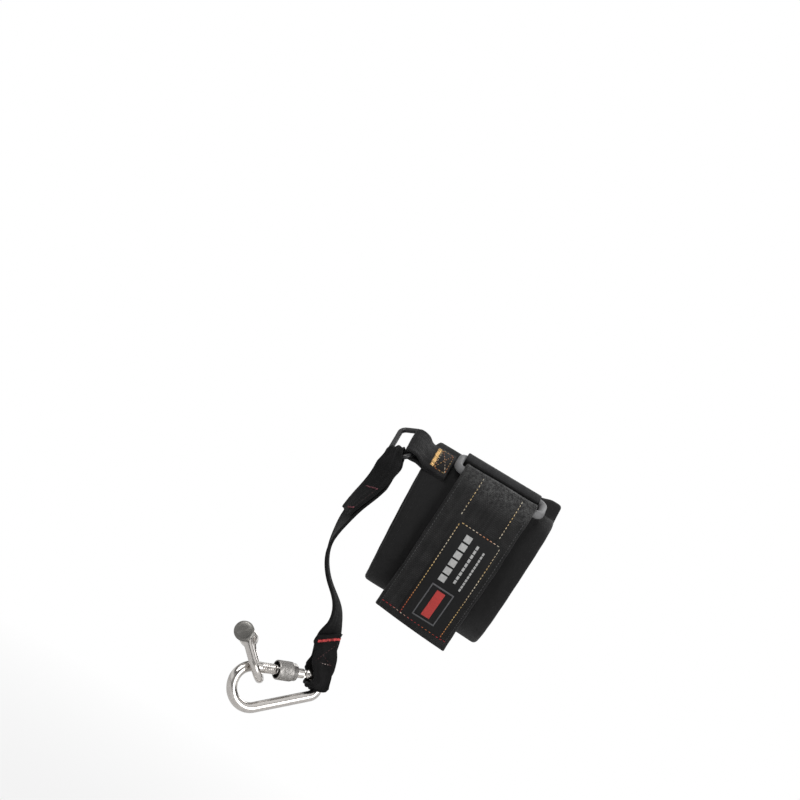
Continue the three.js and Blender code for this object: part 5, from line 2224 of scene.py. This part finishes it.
@dataclass
class SideLoop(Assembly):
    """Webbing loop sewn to the cuff's side, with the small black ring that it holds."""

    PLAN = (
        Piece("webbing", "side", "webbing", "cuff", ("side_loop",)),
        Piece("stitches", "thread", "orange_thread", "cuff"),
        Piece("tack", "thread", "orange_thread", "cuff", ("side_tack",)),
        Piece("ring", "black", "black_plastic", "ring", ("small_ring",)),
    )

    angle_deg: float = 29.5
    width: float = 18.2
    thick: float = 1.3
    gap: float = 0.14
    bar_x: float = -42.0
    bar_lift: float = 2.2
    inner_x: float = -22.6
    sag: float = 1.6
    ring_wire: float = 2.8
    ring_room: float = 1.2
    ring_span: float = 13.2
    ring_corner: float = 2.6
    droop_deg: float = 30.0
    tack_x: float = -30.8
    tack_wide: float = 1.7

    def __post_init__(self) -> None:
        """Finds the loop's directions and its bar on the oval."""
        self.angle = math.radians(self.angle_deg)
        self.out, self.across = OVAL.out(self.angle), OVAL.round_way(self.angle)
        self.low = self.gap + self.thick / 2
        self.high = self.low + self.thick + self.gap
        self.radius = self.ring_wire / 2 + 0.2 + self.thick / 2
        self.bar = OVAL.point(self.bar_x, self.angle, 0.0) + self.bar_lift * self.out
        droop = math.radians(self.droop_deg)
        self.away = np.array([-math.cos(droop), 0.0, 0.0]) - math.sin(droop) * self.out
        self.ring_length = self.width + self.ring_wire + self.ring_room
        self.ring_across = self.ring_span - self.ring_wire
        self.ring_centre = self.bar + self.away * self.ring_across / 2

    def spot(self, x: Array, lift: Array) -> Array:
        """Places over the oval at the loop's angle: the root moved to x, and out by a lift.

        Args:
            x: Places along the forearm.
            lift: Height over the oval.

        Returns:
            Places, with the shape of the arguments.
        """
        x, lift = np.broadcast_arrays(np.asarray(x, float), lift)
        root = np.tile(OVAL.point(0.0, self.angle, 0.0), (*x.shape, 1))
        root[..., 0] = x
        return root + lift[..., None] * self.out

    def curve(self, x: Array) -> Array:
        """How far the loop's edges hang below its middle: full on the cuff and none at the bar."""
        edge = float(OVAL.hand_edge(self.angle))
        return self.sag * (1 - ease((edge - x) / (2 * self.radius)))

    def webbing(self) -> bpy.types.Object:
        """The loop: a lower layer, a turn round the ring's bar and an upper layer, one closed band.

        The section hangs by curve(x) u^2 toward the cuff, with u from -1 to 1 across the width.

        Returns:
            The loop.
        """
        near = self.bar_x + 3.5 * self.radius
        low_x = np.linspace(self.inner_x, near, 6)
        turn = np.linspace(-np.pi / 2, np.pi / 2, 9)[:, None]
        away = np.array([-1.0, 0.0, 0.0])
        around = np.cos(turn) * away + np.sin(turn) * self.out
        bend = self.bar + around * self.radius
        places = np.vstack([self.spot(low_x, self.low), bend, self.spot(low_x[::-1], self.high)])
        ups = np.vstack([np.tile(-self.out, (6, 1)), around, np.tile(self.out, (6, 1))])
        rail = Rail.through(places, ups, 170)
        section = flat_section(self.width, self.thick, 34)
        shape = repeated(section, 170)
        u = section[:, 0] / (self.width / 2)
        facing = rail.up @ self.out
        hang = self.curve(rail.place[:, 0]) * np.clip(facing, -1, 1)
        shape[..., 1] -= hang[:, None] * (u**2)[None, :]
        raised = 0.09 * np.exp(-((np.abs(u) - 0.93) / 0.06) ** 2) * np.sign(section[:, 1])
        walked = np.linspace(0, rail.length, 170)
        soft = 0.12 * np.sin(walked / 3.1)[:, None] * np.sin(2.5 * u + 0.7)[None, :]
        shape[..., 1] += raised[None, :] + soft * (facing > 0)[:, None]
        return Surface().add(sweep(rail, shape)).make("side_loop_webbing", CLOTH_EDGE)

    def face(self, x: Array, s: Array, lift: float = 0.0) -> tuple[Array, Array]:
        """Places and directions up on the upper layer's face.

        Args:
            x: Places along the loop.
            s: Millimetres across it from its middle.
            lift: Height over the face.

        Returns:
            Places, (n, 3), and directions, (n, 3).
        """
        x, s = np.broadcast_arrays(np.asarray(x, float), np.asarray(s, float))
        u = s / (self.width / 2)
        hang = self.curve(x)
        up = unit(self.out + (2 * hang * u / (self.width / 2))[..., None] * self.across)
        place = self.spot(x, self.high + self.thick / 2 - hang * u**2) + s[..., None] * self.across
        return place + lift * up, up

    def stitches(self) -> bpy.types.Object:
        """A sewn box with a cross between the bar tack and the loop's inner end.

        Returns:
            The stitches.
        """
        sewn = Surface()
        low, high, half = -29.4, -23.7, self.width / 2 - 1.9
        run = np.linspace(0, 1, 40)
        dim_orange, dim_gold, dim_cream = (np.array(c) * k for c, k in ((ORANGE, 0.5), (GOLD, 0.6), (CREAM, 0.8)))
        lines = [
            (low + (high - low) * run, np.full(40, half), [dim_orange, dim_gold]),
            (low + (high - low) * run, np.full(40, -half), [dim_gold, dim_orange]),
            (np.full(40, high), half * (2 * run - 1), [dim_orange, dim_gold, dim_orange]),
            (np.full(40, low), half * (2 * run - 1), [dim_gold, dim_cream, dim_orange]),
            (low + (high - low) * run, half * (2 * run - 1), [dim_orange, dim_cream]),
            (low + (high - low) * run, half * (1 - 2 * run), [dim_gold, dim_orange]),
        ]
        for number, (x, s, dye) in enumerate(lines):
            line, up = self.face(x, s, 0.02)
            self.needle.row(sewn, line, up, 1.85, 0.68, dye, 0.4, 71 + number)
        return sewn.make("side_loop_stitches")

    def tack(self) -> bpy.types.Object:
        """The bar tack across the loop, in dense pale orange thread.

        Returns:
            The tack.
        """
        s = np.linspace(-1, 1, 24) * (self.width / 2 - 1.3 * self.tack_wide)
        line, up = self.face(self.tack_x, s)
        bar = self.needle.tack(Surface(), line, up, np.array([1.0, 0.0, 0.0]), self.tack_wide, (0.95, 0.6, 0.25), 7)
        return bar.make("side_loop_tack")

    def ring(self) -> bpy.types.Object:
        """The small ring: a rounded rectangle of moulded rod with a faint parting line.

        Returns:
            The ring.
        """
        size = (self.ring_length, self.ring_across, self.ring_corner)
        places, ways = rounded_path(self.ring_centre, self.across, self.away, *size, 14, 12)
        normal = unit(np.cross(self.across, self.away))
        turn = full_turn(32)
        radius = self.ring_wire / 2 * (1 - 0.035 * np.exp(-(np.sin(turn) / 0.16) ** 2))
        section = np.column_stack([radius * np.cos(turn), radius * np.sin(turn)])
        rail = Rail.flat(places, ways, normal)
        return Surface().add(sweep(rail, section * 0.88), Caps.JOINED).make("lanyard_ring", PLASTIC_EDGE)


# ---------------------------------------------------------------- carabiner and shackle


@dataclass
class Carabiner(Assembly):
    """Pear-shaped steel hook with a pivoting gate and a knurled lock sleeve, in the hang's own frame."""

    PLAN = (
        Piece("frame", "polished", "steel", "carabiner", ("carabiner_frame",)),
        Piece("pin", "satin", "steel", "carabiner", ("carabiner_hinge_pin",)),
        Piece("gate", "polished", "steel", "gate", ("carabiner_gate",)),
        Piece("sleeve", "satin", "satin_steel", "sleeve", ("carabiner_sleeve",)),
    )

    hang: HangingFrame
    rod: float = 5.0
    wide: float = 9.5
    narrow: float = 5.0
    span: float = 29.0
    nose: float = 10.7
    gate_wire: float = 4.6
    tongue_thick: float = 2.0
    tongue_wide: float = 3.6
    hinge_inset: float = 0.5
    pin_wire: float = 1.5
    pin_length: float = 4.6
    gap: float = 0.3
    sleeve_outer: float = 9.2
    sleeve_bore: float = 5.7
    sleeve_length: float = 10.0
    sleeve_taper: float = 2.4
    sleeve_offset: float = 0.35

    def __post_init__(self) -> None:
        """Finds the gate's line, which touches both bends, and the hinge on it."""
        drop = math.asin((self.wide - self.narrow) / self.span)
        self.slope = drop
        self.way = np.array([math.cos(drop), -math.sin(drop), 0.0])
        self.rise = np.array([math.sin(drop), math.cos(drop), 0.0])
        self.start = np.array([-self.span, 0.0, 0.0]) + self.wide * self.rise
        run = math.sqrt(self.span**2 - (self.wide - self.narrow) ** 2)
        self.hinge_run = run - self.hinge_inset
        self.hinge = self.start + self.hinge_run * self.way
        self.tip = self.hinge_run - self.nose - self.gap
        face = np.array([0.0, 0.0, 1.0])
        self.gate_axes = np.stack([self.way, self.rise, face])
        frame_axes = np.stack([self.hang.long, self.hang.up, self.hang.face])
        self.world_axes = self.gate_axes @ frame_axes

    def at_hinge(self, points: Array) -> Array:
        """Points in the gate's own frame (along, up, face; origin at the hinge) as places."""
        return self.hang.world(self.hinge + np.asarray(points, float) @ self.gate_axes)

    def about_hinge(self, profile: Array, count: int = 40) -> Array:
        """A profile of (radius, distance along) turned about the hinge's line, as places."""
        return self.at_hinge(turned(profile, np.zeros(3), np.array([0.0, 0.0, 1.0]), count))

    def drilled(self, piece: bpy.types.Object, room: float) -> bpy.types.Object:
        """Drills the hinge pin's hole.

        Args:
            piece: The knuckle or the tongue.
            room: How much wider than the pin the hole is on each side.

        Returns:
            The piece with the hole.
        """
        radius = self.pin_wire / 2 + room
        hole = np.array([[radius, -self.rod], [radius, self.rod]])
        drill = Surface().add(self.about_hinge(hole)).make("drill")
        return changed(piece, drill, Change.CUT)

    def frame(self) -> bpy.types.Object:
        """The bent rod: nose, wide bend, spine, narrow bend and forked knuckle.

        The nose's last part is threaded: radius = rod / 2 - depth (1 + sin(2 pi (s / pitch) + angle)) / 2,
        faded in and out, so the thread is a true helix.

        Returns:
            The frame.
        """
        quarter = math.pi / 2 - self.slope
        turn_wide = np.linspace(quarter, 2 * math.pi - quarter, 64)[:, None]
        turn_narrow = np.linspace(-quarter, quarter, 48)[:, None]
        arm = lambda a: np.hstack([np.cos(a), np.sin(a), 0 * a])
        way = lambda a: np.hstack([-np.sin(a), np.cos(a), 0 * a])
        s = np.linspace(self.nose, 0.4, 90)[:, None]
        nose = self.start + s * self.way
        wide = np.array([-self.span, 0, 0]) + self.wide * arm(turn_wide)
        spine_share = np.linspace(0, 1, 24)[1:-1, None]
        narrow = self.narrow * arm(turn_narrow)
        spine = wide[-1] + spine_share * (narrow[0] - wide[-1])
        place = np.vstack([nose, wide, spine, narrow, self.hinge])
        ahead = np.vstack([np.tile(-self.way, (90, 1)), way(turn_wide),
                           np.tile(unit(narrow[0] - wide[-1]), (22, 1)), way(turn_narrow), -self.way])
        normal = np.array([0.0, 0.0, 1.0])
        turn = full_turn(40)
        radius = np.full((len(place), 40), self.rod / 2)
        along = np.concatenate([s[:, 0], np.full(len(place) - 90, -5.0)])[:, None]
        fade = ease((along - 3.4) / 0.5) * ease((self.nose - 0.5 - along) / 0.3)
        radius = radius - 0.26 * fade * helix(along, turn, 0.9)
        radius = radius - (0.55 * ease((along - self.nose + 0.6) / 0.6) * (along > 0))
        section = np.stack([radius * np.cos(turn), radius * np.sin(turn)], -1)
        rail = Rail.flat(place, ahead, normal)
        piece = Surface().add(self.hang.world(sweep(rail, section))).make("hook_frame", STEEL_EDGE)
        ball_turn = np.linspace(0.02, math.pi - 0.02, 25)
        ball = np.column_stack([np.sin(ball_turn), np.cos(ball_turn)]) * (self.rod / 2 + 0.02)
        piece = changed(piece, Surface().add(self.about_hinge(ball, 48)).make("knuckle"), Change.JOIN)
        front, rear = self.rod / 2 + self.tongue_wide, self.tongue_wide / 2 + self.gap
        middle = self.at_hinge([(rear - front) / 2, 0.0, 0.0])
        size = (front + rear, self.rod * 2, self.tongue_thick + 2 * self.gap)
        piece = changed(piece, block("slot", middle, self.world_axes, size), Change.CUT)
        return self.drilled(piece, 0.06)

    def pin(self) -> bpy.types.Object:
        """The hinge pin, with slightly domed, peened ends.

        Returns:
            The pin.
        """
        r, h = self.pin_wire / 2, self.pin_length / 2
        half = [(0.02, h + 0.12), (r * 0.5, h + 0.09), (r * 0.85, h), (r, h - 0.16)]
        profile = np.array(half + [(a, -b) for a, b in reversed(half)])
        return Surface().add(self.about_hinge(profile)).make("hook_hinge_pin", STEEL_EDGE)

    def gate(self) -> bpy.types.Object:
        """The gate: a round arm with rounded shoulders, a thread under the sleeve and a flat tongue.

        The arm's radius is lowered by the same helix as the nose's where the sleeve rides.

        Returns:
            The gate.
        """
        shoulder = self.rod / 2 + self.gap
        r = self.gate_wire / 2
        x = np.concatenate([[-self.tip, -self.tip + 0.06], np.linspace(-self.tip + 0.4, -shoulder - 0.4, 150),
                            [-shoulder - 0.06, -shoulder]])
        base = np.full_like(x, r)
        base[[0, -1]] = r - 0.4
        base[[1, -2]] = r - 0.16
        turn = full_turn(36)
        from_tip = x + self.tip
        fade = ease((from_tip - 0.8) / 0.4) * ease((4.4 - from_tip) / 0.5)
        radius = base[:, None] - 0.2 * fade[:, None] * helix(from_tip[:, None], turn, 0.9)
        arm = Surface().add(self.at_hinge(about_x(x[:, None], radius, turn))).make("hook_gate", STEEL_EDGE)
        half = self.tongue_wide / 2
        rim = np.linspace(-math.pi / 2, math.pi / 2, 20)
        root = -shoulder - half
        outline = np.vstack([half * np.column_stack([np.cos(rim), np.sin(rim)]), [[root, half], [root, -half]]])
        levels = [(-1.0, 0.97, 0.86), (-0.86, 1.0, 1.0), (0.86, 1.0, 1.0), (1.0, 0.97, 0.86)]
        tongue_grid = np.stack([
            np.column_stack([outline * [shorter, flatter], np.full(len(outline), z * self.tongue_thick / 2)])
            for z, shorter, flatter in levels
        ])
        tongue = Surface().add(self.at_hinge(tongue_grid)).make("tongue")
        return self.drilled(changed(arm, tongue, Change.JOIN), 0.08)

    def sleeve(self) -> bpy.types.Object:
        """The lock sleeve: rolled rims, a bore, a taper and a diamond-knurled band.

        The knurl is raised by 0.17 sqrt(|sin(n a + k x) sin(n a - k x)|) - 0.13, which is two sets of
        crossing grooves, faded out at the band's ends.

        Returns:
            The sleeve.
        """
        outer, bore, length, taper = self.sleeve_outer / 2, self.sleeve_bore / 2, self.sleeve_length, self.sleeve_taper
        neck = (outer + bore) / 2
        inside = [(bore, length - 0.3), (bore, length * 0.66), (bore, length * 0.4), (bore + 0.1, 2.6),
                  (outer - 0.85, 1.9)]
        front = [(outer - 0.7, 0.5), (outer - 0.55, 0.08), (outer - 0.4, 0.0), (outer - 0.14, 0.13), (outer, 0.45)]
        band = [(outer, x) for x in np.linspace(0.6, length - taper - 0.5, 74)]
        slope = [(outer - 0.02, length - taper - 0.3), (outer - 0.12, length - taper),
                 (outer - 0.45, length - taper * 0.72)]
        close = [(neck + 0.35, length - 0.5), (neck + 0.12, length - 0.14), (neck - 0.2, length), (bore + 0.3, length)]
        profile = np.array(inside + front + band + slope + close)
        count = 168
        turn = full_turn(count)
        x = profile[:, 1:2]
        fade = ease((x - 0.95) / 0.35) * ease((length - taper - 1.0 - x) / 0.35) * (profile[:, 0:1] >= outer - 0.001)
        cross = np.sin(21 * turn[None, :] + 4.6 * x) * np.sin(21 * turn[None, :] - 4.6 * x)
        radius = profile[:, 0:1] + fade * (0.17 * np.sqrt(np.abs(cross)) - 0.13)
        start = [-self.tip + self.sleeve_offset, 0.0, 0.0]
        # Painted shade: the bore and the inner lip are tinted nearly black, 0.06, as shade inside the recess.
        dark = np.ones(len(profile))
        dark[: len(inside) + 1] = 0.06
        tint = np.broadcast_to(dark[:, None, None], (*radius.shape, 3))
        grid = self.at_hinge(about_x(x, radius, turn) + start)
        return Surface().add(grid, Caps.JOINED, tint).make("hook_sleeve", THREADED_EDGE)


@dataclass
class Shackle(Assembly):
    """Bow shackle in its own frame: x down to the bow's bottom, y along the pin toward its head."""

    PLAN = (
        Piece("bow", "polished", "steel", "shackle", ("shackle_bow",)),
        Piece("pin", "oxide", "steel", "pin", ("shackle_pin",)),
    )

    place: Array
    down: Array
    across: Array
    wire: float = 4.0
    inside: float = 10.4
    seat: float = 1.4
    reach: float = 21.0
    rod: float = 5.0
    eye: float = 8.6
    eye_wide: float = 4.2
    bore: float = 5.0
    pin_wire: float = 4.2
    head: float = 9.5
    head_thick: float = 2.0
    nut: float = 1.2
    gap: float = 0.3

    def __post_init__(self) -> None:
        """Finds the bow's radius, its bottom and the pin's line."""
        self.side = np.cross(self.down, self.across)
        self.half = (self.inside + self.wire) / 2
        self.bottom = self.rod / 2 + self.wire / 2 + self.seat
        self.pin_x = self.bottom - self.reach

    def world(self, points: Array) -> Array:
        """Points in the shackle's own frame as places."""
        return self.place + np.asarray(points, float) @ np.stack([self.down, self.across, self.side])

    def about_pin(self, profile: Sequence[tuple[float, float]]) -> Array:
        """A profile of (radius, y) turned about the pin's line, as places."""
        grid = turned(np.asarray(profile, float), np.zeros(3), np.array([0.0, 1.0, 0.0]), 56)
        return self.world(grid + [self.pin_x, 0.0, 0.0])

    def bow(self) -> bpy.types.Object:
        """The bow: a bent rod that flattens into two bored eyes with rounded rims.

        Returns:
            The bow.
        """
        centre = self.bottom - self.half
        turn = np.linspace(-math.pi / 2, math.pi / 2, 56)[:, None]
        arc = np.hstack([centre + self.half * np.cos(turn), self.half * np.sin(turn), 0 * turn])
        leg_x = np.linspace(self.pin_x, centre, 26)[:-1]
        low = np.column_stack([leg_x, np.full(25, -self.half), np.zeros(25)])
        high = np.column_stack([leg_x[::-1], np.full(25, self.half), np.zeros(25)])
        place = np.vstack([low, arc, high])
        ahead = unit(np.gradient(place, axis=0))
        normal = np.array([0.0, 0.0, 1.0])
        near = 1 - ease((place[:, 0] - self.pin_x - 1.5) / 5.5)
        scale = np.stack([1 + 0.03 * near, 1 + 0.42 * near], -1)
        rail = Rail.flat(place, ahead, normal)
        grid = self.world(sweep(rail, round_section(self.wire / 2, 36), scale))
        piece = Surface().add(grid).make("shackle_bow_rod", STEEL_EDGE)
        r, w = self.eye / 2, self.eye_wide / 2
        lower = [(0.05, -w), (r - 0.5, -w), (r - 0.15, -w + 0.13), (r, -w + 0.5)]
        rim = lower + [(a, -b) for a, b in reversed(lower)]
        for side in (-1, 1):
            eye = Surface().add(self.about_pin([(a, b + side * self.half) for a, b in rim])).make("eye")
            piece = changed(piece, eye, Change.JOIN)
        hole = [(self.bore / 2, -2 * self.half), (self.bore / 2, 2 * self.half)]
        return changed(piece, Surface().add(self.about_pin(hole)).make("drill"), Change.CUT)

    def pin(self) -> bpy.types.Object:
        """The pin: a rounded button head, a shank and a threaded end; the thread is a true helix.

        Returns:
            The pin.
        """
        face = self.half + self.eye_wide / 2 + self.gap
        end = -(self.half + self.eye_wide / 2 + self.nut)
        r, top, rim = self.pin_wire / 2, face + self.head_thick, self.head / 2
        thread_x = np.linspace(end + 0.35, end + 5.2, 62)
        head = [(r, face - 0.2), (r, face + 0.02), (rim - 0.25, face + 0.02), (rim, face + 0.3), (rim, face + 1.05),
                (rim - 0.12, face + 1.4), (rim - 0.5, face + 1.72), (rim - 1.2, top - 0.08), (rim - 2.4, top),
                (0.04, top)]
        profile = np.array([(0.04, end), (r - 0.4, end), (r - 0.1, end + 0.2)] + [(r, x) for x in thread_x]
                           + [(r, end + 6.0), (r, 0.0)] + head)
        turn = full_turn(56)
        y = profile[:, 1:2]
        fade = ease((y - end - 0.3) / 0.3) * ease((end + 5.2 - y) / 0.5)
        radius = profile[:, 0:1] - 0.2 * fade * helix(y, turn, 0.8)
        grid = np.stack([radius * np.cos(turn), np.broadcast_to(y, radius.shape), -radius * np.sin(turn)], -1)
        return Surface().add(self.world(grid + [self.pin_x, 0.0, 0.0])).make("shackle_pin_bolt", THREADED_EDGE)


# ---------------------------------------------------------------- the part


def main() -> None:
    logging.basicConfig(level=logging.INFO, format="%(name)s: %(message)s")
    Studio().build()
    maker = Maker(Wardrobe())
    hang = HangingFrame()
    side = SideLoop()
    lanyard = Lanyard(hang, side)
    webbing, *sewn = lanyard.build(maker)
    hook = Carabiner(hang).build(maker)
    shackle = Shackle(
        place=np.array([-52.6869, -38.5516, -95.4954]),
        down=np.array([0.7122, -0.2588, -0.6526]),
        across=np.array([-0.1908, -0.9659, 0.1749]),
    ).build(maker)
    line = lanyard.line * MM
    float(run_lengths(line)[-1])
    for assembly in (side, Cuff(), ClosingStrap()):
        assembly.build(maker)


if __name__ == "__main__":
    main()
